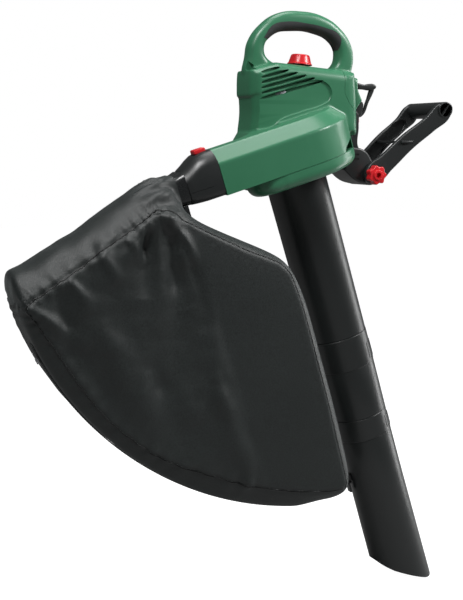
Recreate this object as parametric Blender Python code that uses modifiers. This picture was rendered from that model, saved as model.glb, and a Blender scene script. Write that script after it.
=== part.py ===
"""A leaf vacuum mulcher: a hand-held electric blower body with a suction tube below and a leaf bag behind.

Metres, +Z up, +X forward, +Y to the user's left. The origin is the centre of the main handle's grip bar.
The fan, the scroll and the suction tube stand on the fan's axis, which leans back from the vertical.
"""

import math

import bmesh
import bpy
from mathutils import Matrix, Vector

# The fan's axis. Everything in its frame has Z along the axis, up, and Z = 0 in the fan chamber's floor.
FAN_CENTRE = (-0.013, 0.0, -0.220)
FAN_LEAN = math.radians(17.0)

GAP = 0.0003  # between pieces that touch
WALL = 0.003  # of the moulded shells

# The housing and its loop handle.
HANDLE_HALF_WIDTH = 0.0165
BODY_HALF_WIDTH = 0.042
BODY_ROUNDING = 0.020

# The scroll round the fan, in the fan's frame. It grows clockwise, seen from above, into the duct.
SCROLL_START_RADIUS = 0.092
SCROLL_END_RADIUS = 0.111
SCROLL_FLOOR = -0.012
SCROLL_TOP = 0.062
SCROLL_ROUNDING = 0.018
COVER_FLOOR = -0.037
COVER_ROUNDING = 0.014
DUCT_END_X = -0.165
DUCT_INNER_Y = -0.042

# The motor and the fan.
SHAFT_RADIUS = 0.005
STATOR_RADIUS = 0.0345
ARMATURE_RADIUS = 0.022
FAN_RADIUS = 0.080

# The suction tube, in three lengths, and its collar on the lower scroll cover.
TUBE_WALL = 0.0022
COLLAR_RADIUS = 0.0472
TUBE_TOP_RADIUS = 0.0510
TUBE_JOINT_RADIUS = 0.0495
NOZZLE_RADIUS = 0.0480
TUBE_TOP_Z = COVER_FLOOR - GAP
JOINT_1_Z = -0.321
JOINT_2_Z = -0.468
SOCKET_1_END_Z = -0.377
SOCKET_2_END_Z = -0.507
NOZZLE_SHORT_Z = -0.747
NOZZLE_SLOPE = math.radians(34.0)

# The second handle, on a pivot across the tool's front.
PIVOT = (0.124, 0.0, -0.253)
GRIP = (0.253, 0.0, -0.144)
LUG_RADIUS = 0.0175
LUG_HALF_WIDTH = 0.033
GRIP_RADIUS = 0.0145
GRIP_HALF_LENGTH = 0.058
ARM_THICKNESS = 0.010
BOLT_RADIUS = 0.004

# The dial, on the housing's shoulder inside the loop.
DIAL_SEAT = (0.0052, 0.0, -0.0715)
DIAL_LEAN = math.radians(5.0)

# The duct's connector and the bag's neck, in the fan's frame. The bag hangs in the duct's plane.
DUCT_CENTRE_Y = -0.0765
CONNECTOR_END_X = -0.222
NECK_END_X = -0.238
BAG_CENTRE_Y = -0.081
BAG_HALF_WIDTH = 0.064
BAG_WALL = 0.0025
BAG_CURVE_CENTRE = (-0.005, -0.264)
BAG_CURVE_RADIUS = 0.525
ZIP_Y = -0.100

for old in list(bpy.data.objects):
    bpy.data.objects.remove(old)

parts = bpy.data.collections.new("leaf_vacuum_mulcher")
cutters = bpy.data.collections.new("cutters")
bpy.context.scene.collection.children.link(parts)
bpy.context.scene.collection.children.link(cutters)


def finish(name, colour, roughness, metallic=0.0):
    """A material for one family of pieces."""
    material = bpy.data.materials.new(name)
    material.use_nodes = True
    shader = material.node_tree.nodes["Principled BSDF"]
    shader.inputs["Base Color"].default_value = (*colour, 1.0)
    shader.inputs["Roughness"].default_value = roughness
    shader.inputs["Metallic"].default_value = metallic
    return material


GREEN = finish("green_shell", (0.047, 0.195, 0.095), 0.42)
BLACK = finish("black_plastic", (0.018, 0.021, 0.021), 0.45)
RED = finish("red_plastic", (0.68, 0.020, 0.024), 0.38)
SOFT = finish("soft_black_grip", (0.022, 0.023, 0.024), 0.80)
CLOTH = finish("bag_cloth", (0.014, 0.018, 0.018), 0.70)
STEEL = finish("steel", (0.55, 0.56, 0.58), 0.35, 1.0)
LAMINATIONS = finish("laminations", (0.30, 0.31, 0.33), 0.50, 1.0)
COPPER = finish("copper", (0.80, 0.36, 0.18), 0.35, 1.0)
CARBON = finish("carbon", (0.03, 0.03, 0.032), 0.60)


def place(obj, collection, parent=None):
    """Links an object into one collection, under a parent if it has one."""
    for old_collection in list(obj.users_collection):
        old_collection.objects.unlink(obj)
    collection.objects.link(obj)
    obj.parent = parent
    return obj


def frame(name, origin, lean):
    """An empty at an origin, leaned about Y."""
    empty = bpy.data.objects.new(name, None)
    empty.location = origin
    empty.rotation_euler = (0.0, lean, 0.0)
    return place(empty, parts)


FAN_AXIS = frame("fan_axis", FAN_CENTRE, -FAN_LEAN)
DIAL_AXIS = frame("dial_axis", DIAL_SEAT, DIAL_LEAN)
PIVOT_AXIS = frame("pivot_axis", PIVOT, 0.0)


def solid(name, mesh, material=None, parent=None):
    """A named part, or a cutter if it has no material."""
    obj = bpy.data.objects.new(name, mesh)
    if material:
        mesh.materials.append(material)
    place(obj, parts if material else cutters, parent)
    if not material:
        obj.hide_render = True
        obj.display_type = "WIRE"
    return obj


def smooth(mesh, degrees=35.0):
    mesh.shade_smooth()
    mesh.set_sharp_from_angle(angle=math.radians(degrees))


def from_bmesh(name, shape, material=None, parent=None):
    mesh = bpy.data.meshes.new(name)
    bmesh.ops.recalc_face_normals(shape, faces=shape.faces)
    shape.to_mesh(mesh)
    shape.free()
    return solid(name, mesh, material, parent)


def box(name, low, high, material=None, parent=None, rounding=0.0):
    """A box between two corners, its edges rounded if asked."""
    shape = bmesh.new()
    bmesh.ops.create_cube(shape, size=1.0)
    middle = [(a + b) / 2 for a, b in zip(low, high)]
    bmesh.ops.scale(shape, vec=[b - a for a, b in zip(low, high)], verts=shape.verts)
    bmesh.ops.translate(shape, vec=middle, verts=shape.verts)
    if rounding:
        bmesh.ops.bevel(shape, geom=shape.edges, offset=rounding, segments=2, profile=0.5, affect="EDGES")
    return from_bmesh(name, shape, material, parent)


def rod(name, radius, start, end, material=None, parent=None, segments=24):
    """A round bar from one point to another."""
    start, end = Vector(start), Vector(end)
    along = end - start
    turn = along.to_track_quat("Z", "Y").to_matrix().to_4x4()
    shape = bmesh.new()
    bmesh.ops.create_cone(shape, cap_ends=True, segments=segments, radius1=radius, radius2=radius,
                          depth=along.length, matrix=Matrix.Translation((start + end) / 2) @ turn)
    obj = from_bmesh(name, shape, material, parent)
    smooth(obj.data)
    return obj


def turned(name, profile, material=None, parent=None, steps=32):
    """A closed profile of (radius, z), outer side first and downwards, turned about Z."""
    mesh = bpy.data.meshes.new(name)
    count = len(profile)
    mesh.from_pydata([(r, 0.0, z) for r, z in profile], [(i, (i + 1) % count) for i in range(count)], [])
    obj = solid(name, mesh, material, parent)
    screw = obj.modifiers.new("Turned", "SCREW")
    screw.steps = screw.render_steps = steps
    screw.use_merge_vertices = True
    screw.merge_threshold = 0.00001
    return obj


def ring(name, inner, outer, low, high, material=None, parent=None, steps=32):
    return turned(name, [(outer, high), (outer, low), (inner, low), (inner, high)], material, parent, steps)


def slab(name, loops, low, high, rounding=0.0, inset=0.0, plan=False, material=None, parent=None, fine=2):
    """Flat outlines given a thickness, with rounded rims. A point marked with a third value is a corner.

    A side outline is in X and Z and its thickness runs along Y. A plan outline is in X and Y.
    """
    curve = bpy.data.curves.new(name, "CURVE")
    curve.dimensions = "2D"
    curve.fill_mode = "BOTH"
    curve.resolution_u = fine
    curve.extrude = (high - low) / 2 - rounding
    curve.bevel_depth = rounding
    curve.bevel_resolution = 1
    curve.offset = -rounding - inset
    for loop in loops:
        spline = curve.splines.new("BEZIER")
        spline.use_cyclic_u = True
        spline.bezier_points.add(len(loop) - 1)
        for knot, point in zip(spline.bezier_points, loop):
            knot.co = (point[0], point[1], 0.0)
            knot.handle_left_type = knot.handle_right_type = "VECTOR" if len(point) > 2 else "AUTO"
    guide = bpy.data.objects.new(name + "_outline", curve)
    bpy.context.scene.collection.objects.link(guide)
    mesh = bpy.data.meshes.new_from_object(guide.evaluated_get(bpy.context.evaluated_depsgraph_get()))
    bpy.data.objects.remove(guide)
    mesh.materials.clear()
    shape = bmesh.new()
    shape.from_mesh(mesh)
    bmesh.ops.remove_doubles(shape, verts=shape.verts, dist=0.00002)
    if not plan:
        upright = Matrix.Rotation(math.pi / 2, 3, "X")
        bmesh.ops.rotate(shape, cent=(0, 0, 0), matrix=upright, verts=shape.verts)
    middle = (low + high) / 2
    bmesh.ops.translate(shape, vec=(0, 0, middle) if plan else (0, middle, 0), verts=shape.verts)
    obj = from_bmesh(name, shape, material, parent)
    smooth(obj.data)
    return obj


def change(obj, others, operation, solver):
    """Cuts an object with others, or joins them to it."""
    for other in others:
        step = obj.modifiers.new(operation.title(), "BOOLEAN")
        step.operation = operation
        step.solver = solver
        step.object = other
    return obj


SURE = "MANIFOLD"  # for long chains of cuts on shells, where the exact solver loses walls


def cut(obj, *others, solver="EXACT"):
    return change(obj, others, "DIFFERENCE", solver)


def join(obj, *others, solver="EXACT"):
    return change(obj, others, "UNION", solver)


def baked(name, source, material=None, parent=None):
    """A new object with another's modifiers applied to its mesh."""
    bpy.context.view_layer.update()
    mesh = bpy.data.meshes.new_from_object(source.evaluated_get(bpy.context.evaluated_depsgraph_get()))
    mesh.materials.clear()
    return solid(name, mesh, material, parent)


def ribbon(path, half_widths):
    """A closed outline round a path, with round ends. Each half width belongs to its point of the path."""
    points = [Vector(point) for point in path]
    left, right = [], []
    for i, point in enumerate(points):
        along = (points[min(i + 1, len(points) - 1)] - points[max(i - 1, 0)]).normalized()
        side = Vector((-along.y, along.x)) * half_widths[i]
        left.append(point + side)
        right.append(point - side)
    first = points[0] + (points[0] - points[1]).normalized() * half_widths[0]
    last = points[-1] + (points[-1] - points[-2]).normalized() * half_widths[-1]
    return [tuple(p) for p in [first, *left, last, *reversed(right)]]


def circle(centre, radius, start=0.0, end=360.0, count=8):
    """Points on an arc, in degrees. A whole circle leaves out its last point."""
    steps = count if end - start == 360.0 else count - 1
    angles = [math.radians(start + (end - start) * i / steps) for i in range(count)]
    return [(centre[0] + radius * math.cos(a), centre[1] + radius * math.sin(a)) for a in angles]


def spring(name, radius, wire, start, end, turns, parent=None):
    """A compression spring from one point to another."""
    start, end = Vector(start), Vector(end)
    along = end - start
    turn = along.to_track_quat("Z", "Y").to_matrix()
    curve = bpy.data.curves.new(name, "CURVE")
    curve.dimensions = "3D"
    curve.bevel_depth = wire
    curve.bevel_resolution = 1
    curve.use_fill_caps = True
    spline = curve.splines.new("POLY")
    count = turns * 10 + 1
    spline.points.add(count - 1)
    for i, point in enumerate(spline.points):
        angle = 2 * math.pi * i / 10
        rise = along.length * i / (count - 1)
        offset = Vector((radius * math.cos(angle), radius * math.sin(angle), rise))
        point.co = (*(start + turn @ offset), 1.0)
    curve.materials.append(STEEL)
    return place(bpy.data.objects.new(name, curve), parts, parent)


# Outlines that several pieces share.

HANDLE_OUTLINE = [(-0.096, -0.090), (-0.092, -0.061), (-0.087, -0.036), (-0.065, -0.007), (-0.036, 0.011),
                  (0.000, 0.0155), (0.046, 0.008), (0.078, -0.012), (0.096, -0.036), (0.101, -0.060),
                  (0.098, -0.080), (0.094, -0.100, 0), (0.000, -0.100, 0), (-0.090, -0.100, 0)]
HAND_HOLE = [(-0.0625, -0.050), (-0.048, -0.0255), (-0.006, -0.0160), (0.030, -0.0190), (0.0605, -0.0320),
             (0.0705, -0.050), (0.060, -0.0755), (0.028, -0.0742), (-0.016, -0.0708), (-0.048, -0.0680)]
BODY_OUTLINE = [(-0.090, -0.080, 0), (-0.050, -0.0695, 0), (0.060, -0.0790, 0), (0.0925, -0.083, 0),
                (0.095, -0.110), (0.097, -0.150), (0.098, -0.187, 0), (0.040, -0.187, 0),
                (-0.060, -0.187, 0), (-0.096, -0.181, 0), (-0.0905, -0.170, 0), (-0.0920, -0.134)]


def scroll_outline():
    """The fan chamber's outline with its duct, seen from above, in the fan's frame."""
    growth = SCROLL_END_RADIUS - SCROLL_START_RADIUS
    spiral = []
    for turned_by in range(0, 260, 26):
        angle = math.radians(180 - turned_by)
        radius = SCROLL_START_RADIUS + growth * turned_by / 270
        spiral.append((radius * math.cos(angle), radius * math.sin(angle)))
    return spiral


def duct_outline(end_x):
    return [(-0.012, -0.1110, 0), (end_x, -0.1110, 0), (end_x, DUCT_INNER_Y, 0), (-0.112, DUCT_INNER_Y, 0),
            (-0.0965, -0.030, 0)]


def scroll_shape(name, end_x, floor, top, rounding, inset):
    """The scroll and its duct, flat below and rounded above."""
    below = floor - 2 * rounding
    shape = slab(name, [scroll_outline() + duct_outline(end_x)], below, top, rounding, inset, plan=True,
                 parent=FAN_AXIS)
    cut(shape, box(name + "_trim", (-0.3, -0.2, below - 0.01), (0.2, 0.2, floor), parent=FAN_AXIS))
    return shape


def cover_outline():
    return scroll_outline() + [(-0.060, -0.1105, 0), (-0.095, -0.104), (-0.111, -0.085), (-0.108, -0.050),
                               (-0.0965, -0.028)]


def cover_shape(name, floor, top, rounding, inset):
    """The lower cover, flat above and rounded below."""
    above = top + 2 * rounding
    shape = slab(name, [cover_outline()], floor, above, rounding, inset, plan=True, parent=FAN_AXIS)
    cut(shape, box(name + "_trim", (-0.3, -0.2, top), (0.2, 0.2, above + 0.01), parent=FAN_AXIS))
    return shape


def scroll_clearance():
    """The scroll's and the cover's outer shapes with a touching gap round them, to cut their neighbours."""
    upper = scroll_shape("scroll_clearance", DUCT_END_X - GAP, SCROLL_FLOOR - GAP, SCROLL_TOP + GAP,
                         SCROLL_ROUNDING, -GAP)
    lower = cover_shape("cover_clearance", COVER_FLOOR - GAP, SCROLL_FLOOR, COVER_ROUNDING, -GAP)
    return upper, lower


SCROLL_CUT, COVER_CUT = scroll_clearance()


def front_cover():
    """The small green cap on the housing's front, with the nub that the cord hook grows from."""
    outline = [(0.0910, -0.0880, 0), (0.0960, -0.0895), (0.1035, -0.0980), (0.1050, -0.1100),
               (0.1130, -0.1285, 0), (0.1000, -0.1465, 0), (0.0910, -0.1475, 0)]
    half = 0.022
    slab("front_cover", [outline], -half, half, 0.004, material=GREEN)
    return slab("front_cover_clearance", [outline], -half - GAP, half + GAP, inset=-GAP)


COVER_SEAT = front_cover()


def soft_grip_outline():
    path = [(-0.052, -0.0300), (-0.041, -0.0215), (-0.022, -0.0175), (-0.004, -0.0160), (0.014, -0.0165),
            (0.030, -0.0190), (0.048, -0.0250), (0.0605, -0.0322), (0.068, -0.0430)]
    return ribbon(path, [0.0018] + [0.0022] * 7 + [0.0018])


def soft_grip():
    """The rubber pad under the grip bar, in a shallow seat."""
    slab("soft_grip", [soft_grip_outline()], -0.0115, 0.0115, material=SOFT, fine=2)
    return slab("soft_grip_seat", [soft_grip_outline()], -0.0115 - GAP, 0.0115 + GAP, inset=-GAP, fine=2)


GRIP_SEAT = soft_grip()

SCREW_PLACES = [(-0.082, -0.101), (-0.084, -0.164), (0.080, -0.108), (0.082, -0.140)]


def screw_posts(side):
    """The posts inside one half of the housing that its screws run in."""
    posts = []
    for number, (x, z) in enumerate(SCREW_PLACES, 1):
        inner, outer = side * GAP, side * (BODY_HALF_WIDTH - 0.001)
        posts.append(rod(f"post_{number}_{side}", 0.0048, (x, inner, z), (x, outer, z), segments=12))
    return posts


def housing():
    """The motor housing and its loop handle, moulded as a left and a right shell."""
    outer = slab("housing_outer", [HANDLE_OUTLINE, HAND_HOLE], -HANDLE_HALF_WIDTH, HANDLE_HALF_WIDTH, 0.010)
    body = slab("body_outer", [BODY_OUTLINE], -BODY_HALF_WIDTH, BODY_HALF_WIDTH, BODY_ROUNDING)
    hollow = slab("handle_hollow", [HANDLE_OUTLINE, HAND_HOLE], -HANDLE_HALF_WIDTH + WALL,
                  HANDLE_HALF_WIDTH - WALL, 0.007, WALL)
    hollow_body = slab("body_hollow", [BODY_OUTLINE], -BODY_HALF_WIDTH + WALL, BODY_HALF_WIDTH - WALL,
                       BODY_ROUNDING - WALL, WALL)
    dial_hole = rod("dial_hole", 0.0045, (0, 0, -0.02), (0, 0, 0.004), parent=DIAL_AXIS, segments=16)
    join(outer, body, solver=SURE)
    join(hollow, hollow_body, solver=SURE)
    cut(outer, hollow, SCROLL_CUT, COVER_SEAT, GRIP_SEAT, dial_hole, *vent_slots(), solver=SURE)
    for side, name in ((-1, "housing_right"), (1, "housing_left")):
        half = baked(name, outer, GREEN)
        join(half, *screw_posts(side), solver=SURE)
        near, far = sorted((side * GAP / 2, -side * 0.3))
        other_half = box(f"{name}_other_half", (-0.3, near, -0.3), (0.3, far, 0.3))
        cut(half, other_half, SCROLL_CUT, solver=SURE)
        for number, (x, z) in enumerate(SCREW_PLACES, 1):
            pilot = rod(f"{name}_pilot_{number}", 0.0020, (x, -0.020, z), (x, 0.060, z), segments=10)
            cut(half, pilot, solver=SURE)
            if side > 0:
                head = rod(f"{name}_head_{number}", 0.0042, (x, 0.036, z), (x, 0.060, z), segments=12)
                cut(half, head, solver=SURE)
        smooth(half.data)


def vent_slots():
    """Cutters for the air slots through both sides. They start on one line and grow longer downwards."""
    slots = []
    for number in range(6):
        start = Vector((-0.0795, -0.0865 - 0.0083 * number))
        length = 0.030 + 0.0152 * number
        end = start + Vector((length, length * 0.27))
        outline = ribbon([start, end], [0.0013, 0.0013])
        slots.append(slab(f"vent_slot_{number + 1}", [outline], -0.06, 0.06, fine=1))
    return slots


def housing_screws():
    for number, (x, z) in enumerate(SCREW_PLACES, 1):
        screw = rod(f"housing_screw_{number}", 0.0017, (x, -0.015, z), (x, 0.037, z), STEEL, segments=10)
        join(screw, rod(f"screw_head_{number}", 0.0036, (x, 0.0363, z), (x, 0.0390, z), segments=12))


def speed_dial():
    """The lobed dial, the short shaft that it turns and the speed control under it."""
    dial = turned("speed_dial", [(0.0, 0.0170), (0.0140, 0.0170), (0.0158, 0.0150), (0.0205, 0.0015),
                                 (0.0205, 0.0003), (0.0, 0.0003)], RED, DIAL_AXIS)
    for number in range(8):
        angle = math.radians(45 * number + 12)
        x, y = math.cos(angle), math.sin(angle)
        cut(dial, rod(f"dial_scallop_{number + 1}", 0.0045, (0.0245 * x, 0.0245 * y, 0.003),
                      (0.0185 * x, 0.0185 * y, 0.0175), parent=DIAL_AXIS, segments=10))
    cut(dial, rod("dial_bore", 0.0033, (0, 0, -0.001), (0, 0, 0.0100), parent=DIAL_AXIS, segments=12))
    rod("dial_shaft", 0.0030, (0, 0, -0.0140), (0, 0, 0.0097), STEEL, DIAL_AXIS, segments=12)
    control = box("speed_control", (-0.013, -0.011, -0.0260), (0.013, 0.011, -0.0072), BLACK, DIAL_AXIS,
                  0.0015)
    cut(control, rod("control_bore", 0.0033, (0, 0, -0.0143), (0, 0, 0.0), parent=DIAL_AXIS, segments=12))


def cord_hook():
    """The rigid black loop on the front that takes a bight of the mains cord."""
    arm = ribbon([(0.1088, -0.1040), (0.1250, -0.1055), (0.1425, -0.1050)], [0.0030, 0.0040, 0.0045])
    strut = ribbon([(0.1425, -0.1060), (0.1320, -0.1310), (0.1225, -0.1520)], [0.0026, 0.0022, 0.0022])
    hook = slab("cord_hook", [arm], -0.007, 0.007, 0.002, material=BLACK, fine=2)
    join(hook, slab("hook_strut", [strut], -0.0035, 0.0035, 0.001, fine=2))


def front_bracket():
    """The black bracket on the front: a panel for the tube's latch and a lug for the second handle."""
    panel = [(0.0985, -0.1500, 0), (0.1040, -0.1470, 0), (0.1090, -0.1700), (0.1070, -0.2000),
             (0.1100, -0.2150), (0.1000, -0.2250, 0), (0.0900, -0.1900, 0), (0.0800, -0.1880, 0),
             (0.0990, -0.1874, 0)]
    bracket = slab("front_bracket", [panel], -0.017, 0.017, material=BLACK, fine=2)
    chin = [(0.1000, -0.1470, 0), (0.1133, -0.1298, 0), (0.1165, -0.1325), (0.1158, -0.1450),
            (0.1130, -0.1560, 0), (0.1000, -0.1560, 0)]
    join(bracket, slab("bracket_chin", [chin], -0.0165, 0.0165, fine=2))
    lug = [(0.0860, -0.2060, 0), (0.1130, -0.2120)] + circle((PIVOT[0], PIVOT[2]), LUG_RADIUS, 60, -110, 7)
    lug += [(0.0970, -0.2630), (0.0740, -0.2440, 0)]
    join(bracket, slab("bracket_lug", [lug], -LUG_HALF_WIDTH, LUG_HALF_WIDTH, 0.003, fine=2))
    bolt_hole = rod("bracket_bolt_hole", BOLT_RADIUS + GAP, (0, -0.06, 0), (0, 0.06, 0), parent=PIVOT_AXIS)
    tube_clearance = rod("bracket_tube_clearance", TUBE_TOP_RADIUS + 0.002, (0, 0, COVER_FLOOR - 0.1),
                         (0, 0, COVER_FLOOR - GAP), parent=FAN_AXIS, segments=32)
    latch_slot = box("latch_slot", (0.0930, -0.0063, -0.1835), (0.130, 0.0063, -0.1545))
    cut(bracket, SCROLL_CUT, COVER_CUT, COVER_SEAT, bolt_hole, tube_clearance, latch_slot)


def tube_latch():
    """The red push latch that locks the suction tube, with its return spring."""
    latch = [(0.1030, -0.1560, 0), (0.1115, -0.1560), (0.1150, -0.1600), (0.1130, -0.1720),
             (0.1100, -0.1815), (0.1030, -0.1820, 0)]
    slab("tube_latch", [latch], -0.0060, 0.0060, 0.0012, material=RED, fine=2)
    spring("latch_spring", 0.0030, 0.0004, (0.0990, 0, -0.1690), (0.1022, 0, -0.1690), 4)


def spread_arm(arm, flat, slope, side):
    """Bends an arm outwards where its flat end stops, and puts it on its side of the handle."""
    shape = bmesh.new()
    shape.from_mesh(arm.data)
    everything = shape.verts[:] + shape.edges[:] + shape.faces[:]
    bmesh.ops.bisect_plane(shape, geom=everything, plane_co=(flat, 0, 0), plane_no=(1, 0, 0))
    for vertex in shape.verts:
        vertex.co.y = side * (vertex.co.y + slope * max(vertex.co.x - flat, 0.0))
    bmesh.ops.recalc_face_normals(shape, faces=shape.faces)
    shape.to_mesh(arm.data)
    shape.free()


def second_handle():
    """The swinging second handle: two arms, a cross web and a hollow grip, moulded in one piece."""
    reach = Vector((GRIP[0] - PIVOT[0], GRIP[2] - PIVOT[2]))
    path = [(0.0, 0.0), (0.026, 0.021), (0.064, 0.056), (0.101, 0.084), tuple(reach)]
    widths = [0.0165, 0.0152, 0.0142, 0.0134, 0.0145]
    handle = rod("second_handle", GRIP_RADIUS, (reach.x, -GRIP_HALF_LENGTH, reach.y),
                 (reach.x, GRIP_HALF_LENGTH, reach.y), BLACK, PIVOT_AXIS, segments=28)
    inner = LUG_HALF_WIDTH + 0.0008
    flat = 0.022
    slope = (GRIP_HALF_LENGTH - ARM_THICKNESS - inner) / (reach.x - flat)
    for side, name in ((-1, "right"), (1, "left")):
        arm = slab(f"{name}_arm", [ribbon(path, widths)], inner, inner + ARM_THICKNESS, 0.002,
                   parent=PIVOT_AXIS)
        spread_arm(arm, flat, slope, side)
        join(handle, arm)
    web = box("handle_web", (0.050, -0.050, 0.0530), (0.070, 0.050, 0.0570), parent=PIVOT_AXIS)
    join(handle, web)
    for side in (-1, 1):
        bore = rod(f"grip_bore_{side}", 0.0118, (reach.x, side * 0.012, reach.y),
                   (reach.x, side * 0.060, reach.y), parent=PIVOT_AXIS)
        divider = box(f"grip_divider_{side}", (reach.x - 0.0008, -0.060, reach.y - 0.0118),
                      (reach.x + 0.0008, 0.060, reach.y + 0.0118), parent=PIVOT_AXIS)
        cut(handle, cut(bore, divider))
    cut(handle, rod("arm_bolt_hole", BOLT_RADIUS + GAP, (0, -0.06, 0), (0, 0.06, 0), parent=PIVOT_AXIS))


def handle_clamp():
    """The clamp through the pivot: a lobed knob moulded on a bolt's head, and the nut on the far arm."""
    near = -(LUG_HALF_WIDTH + 0.0008 + ARM_THICKNESS + GAP)
    lobes = [(0.0150 + 0.0014 * math.cos(7 * a)) for a in (2 * math.pi * i / 42 for i in range(42))]
    rim = [(r * math.cos(2 * math.pi * i / 42), r * math.sin(2 * math.pi * i / 42), 0)
           for i, r in enumerate(lobes)]
    knob = slab("clamp_knob", [rim], near - 0.0150, near, 0.0, material=RED, parent=PIVOT_AXIS, fine=1)
    join(knob, rod("knob_boss", 0.0085, (0, near - 0.0175, 0), (0, near - 0.0100, 0), parent=PIVOT_AXIS))
    cut(knob, rod("knob_socket", 0.0050, (0, near - 0.0200, 0), (0, near - 0.0110, 0), parent=PIVOT_AXIS,
                  segments=6))
    cut(knob, rod("knob_bore", BOLT_RADIUS + GAP, (0, near - 0.0080, 0), (0, near + 0.001, 0),
                  parent=PIVOT_AXIS, segments=16))
    rod("clamp_bolt", BOLT_RADIUS, (0, near - 0.0077, 0), (0, -near + 0.0085, 0), STEEL, PIVOT_AXIS,
        segments=16)
    nut = rod("clamp_nut", 0.0085, (0, -near, 0), (0, -near + 0.0065, 0), STEEL, PIVOT_AXIS, segments=6)
    cut(nut, rod("nut_bore", BOLT_RADIUS + GAP, (0, -near - 0.001, 0), (0, -near + 0.0075, 0),
                 parent=PIVOT_AXIS, segments=16))


def electrics():
    """The switch that stops the motor when the tube is off, and the mains filter."""
    box("interlock_switch", (0.0520, -0.0060, -0.1260), (0.0730, 0.0060, -0.1100), BLACK, rounding=0.0010)
    box("mains_filter", (0.0180, -0.0080, -0.1160), (0.0420, 0.0080, -0.1020), BLACK, rounding=0.0010)


def motor():
    """The series motor on the fan's axis: plate, bearings, field, armature, commutator and brushes."""
    bore = SHAFT_RADIUS + GAP
    plate_low = SCROLL_TOP + 2 * GAP
    plate, boss, rim = plate_low + 0.004, plate_low + 0.009, 0.037
    turned("motor_plate", [(0.016, boss), (0.016, plate), (rim, plate), (rim, plate_low), (0.0113, plate_low),
                           (0.0113, boss)], LAMINATIONS, FAN_AXIS)
    ring("lower_bearing", bore, 0.0110, plate_low + GAP, 0.0700, STEEL, FAN_AXIS, 24)
    ring("upper_bearing", bore, 0.0110, 0.1310, 0.1380, STEEL, FAN_AXIS, 24)
    ring("stator", 0.0245, STATOR_RADIUS, 0.0800, 0.1090, LAMINATIONS, FAN_AXIS)
    ring("lower_field_coil", 0.0245, 0.0320, 0.0730, 0.0797, COPPER, FAN_AXIS)
    ring("upper_field_coil", 0.0245, 0.0320, 0.1093, 0.1160, COPPER, FAN_AXIS)
    ring("armature", bore, ARMATURE_RADIUS, 0.0790, 0.1100, LAMINATIONS, FAN_AXIS)
    ring("commutator", bore, 0.0120, 0.1180, 0.1290, COPPER, FAN_AXIS, 24)
    for side, name in ((-1, "right"), (1, "left")):
        near, far = sorted((side * 0.0124, side * 0.0240))
        box(f"carbon_brush_{name}", (-0.0040, near, 0.1200), (0.0040, far, 0.1270), CARBON, FAN_AXIS)
    rod("motor_shaft", SHAFT_RADIUS, (0, 0, -0.0080), (0, 0, 0.1400), STEEL, FAN_AXIS)


def fan():
    """The mulching fan with its blades, the shredding blade below it and the nut that holds both."""
    bore = SHAFT_RADIUS + GAP
    impeller = turned("impeller", [(0.013, 0.0500), (0.015, 0.0470), (FAN_RADIUS, 0.0470),
                                   (FAN_RADIUS, 0.0440), (0.015, 0.0420), (0.013, 0.0080), (bore, 0.0080),
                                   (bore, 0.0500)], LAMINATIONS, FAN_AXIS)
    for number in range(8):
        blade = box(f"fan_blade_{number + 1}", (0.0125, -0.0013, 0.0100),
                    (FAN_RADIUS - 0.001, 0.0013, 0.0450), parent=FAN_AXIS)
        blade.rotation_euler = (0.0, 0.0, math.radians(45 * number))
        join(impeller, blade)
    blade = box("shredder_blade", (-0.0420, -0.0075, 0.0040), (0.0420, 0.0075, 0.0070), STEEL, FAN_AXIS,
                0.0004)
    cut(blade, rod("shredder_bore", bore, (0, 0, 0.0), (0, 0, 0.010), parent=FAN_AXIS, segments=16))
    nut = rod("fan_nut", 0.0085, (0, 0, -0.0040), (0, 0, 0.0037), STEEL, FAN_AXIS, segments=6)
    cut(nut, rod("fan_nut_bore", bore, (0, 0, -0.006), (0, 0, 0.006), parent=FAN_AXIS, segments=16))


def scroll():
    """The fan chamber: the upper shell with its duct, and the lower cover with the suction collar."""
    upper = scroll_shape("scroll_upper", DUCT_END_X, SCROLL_FLOOR, SCROLL_TOP, SCROLL_ROUNDING, 0.0)
    hollow = scroll_shape("scroll_hollow", DUCT_END_X - 0.02, SCROLL_FLOOR + WALL, SCROLL_TOP - WALL,
                          SCROLL_ROUNDING - WALL, WALL)
    mouth = rod("scroll_mouth", 0.0870, (0, 0, -0.020), (0, 0, 0.0), parent=FAN_AXIS, segments=40)
    shaft_hole = rod("scroll_shaft_hole", 0.0120, (0, 0, 0.050), (0, 0, 0.070), parent=FAN_AXIS)
    cut(upper, hollow, mouth, shaft_hole)
    shell = baked("scroll_upper_shell", upper)
    bpy.data.objects.remove(upper)
    shell.name = "scroll_upper"
    keep(shell, GREEN, FAN_AXIS)

    lower = cover_shape("scroll_lower", COVER_FLOOR, SCROLL_FLOOR - GAP, COVER_ROUNDING, 0.0)
    hollow = cover_shape("cover_hollow", COVER_FLOOR + WALL, SCROLL_FLOOR + 0.001, COVER_ROUNDING - WALL,
                         WALL)
    eye = rod("suction_eye", COLLAR_RADIUS - WALL, (0, 0, -0.10), (0, 0, 0), parent=FAN_AXIS, segments=32)
    cut(lower, hollow)
    join(lower, rod("collar_outside", COLLAR_RADIUS, (0, 0, -0.075), (0, 0, COVER_FLOOR + WALL / 2),
                    parent=FAN_AXIS, segments=32))
    cut(lower, eye)
    shell = baked("scroll_lower_shell", lower)
    bpy.data.objects.remove(lower)
    shell.name = "scroll_lower"
    keep(shell, GREEN, FAN_AXIS)


def keep(cutter, material, parent=None):
    """Turns a shape that was built among the cutters into a part."""
    place(cutter, parts, parent)
    cutter.hide_render = False
    cutter.display_type = "TEXTURED"
    cutter.data.materials.clear()
    cutter.data.materials.append(material)
    smooth(cutter.data)


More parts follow.
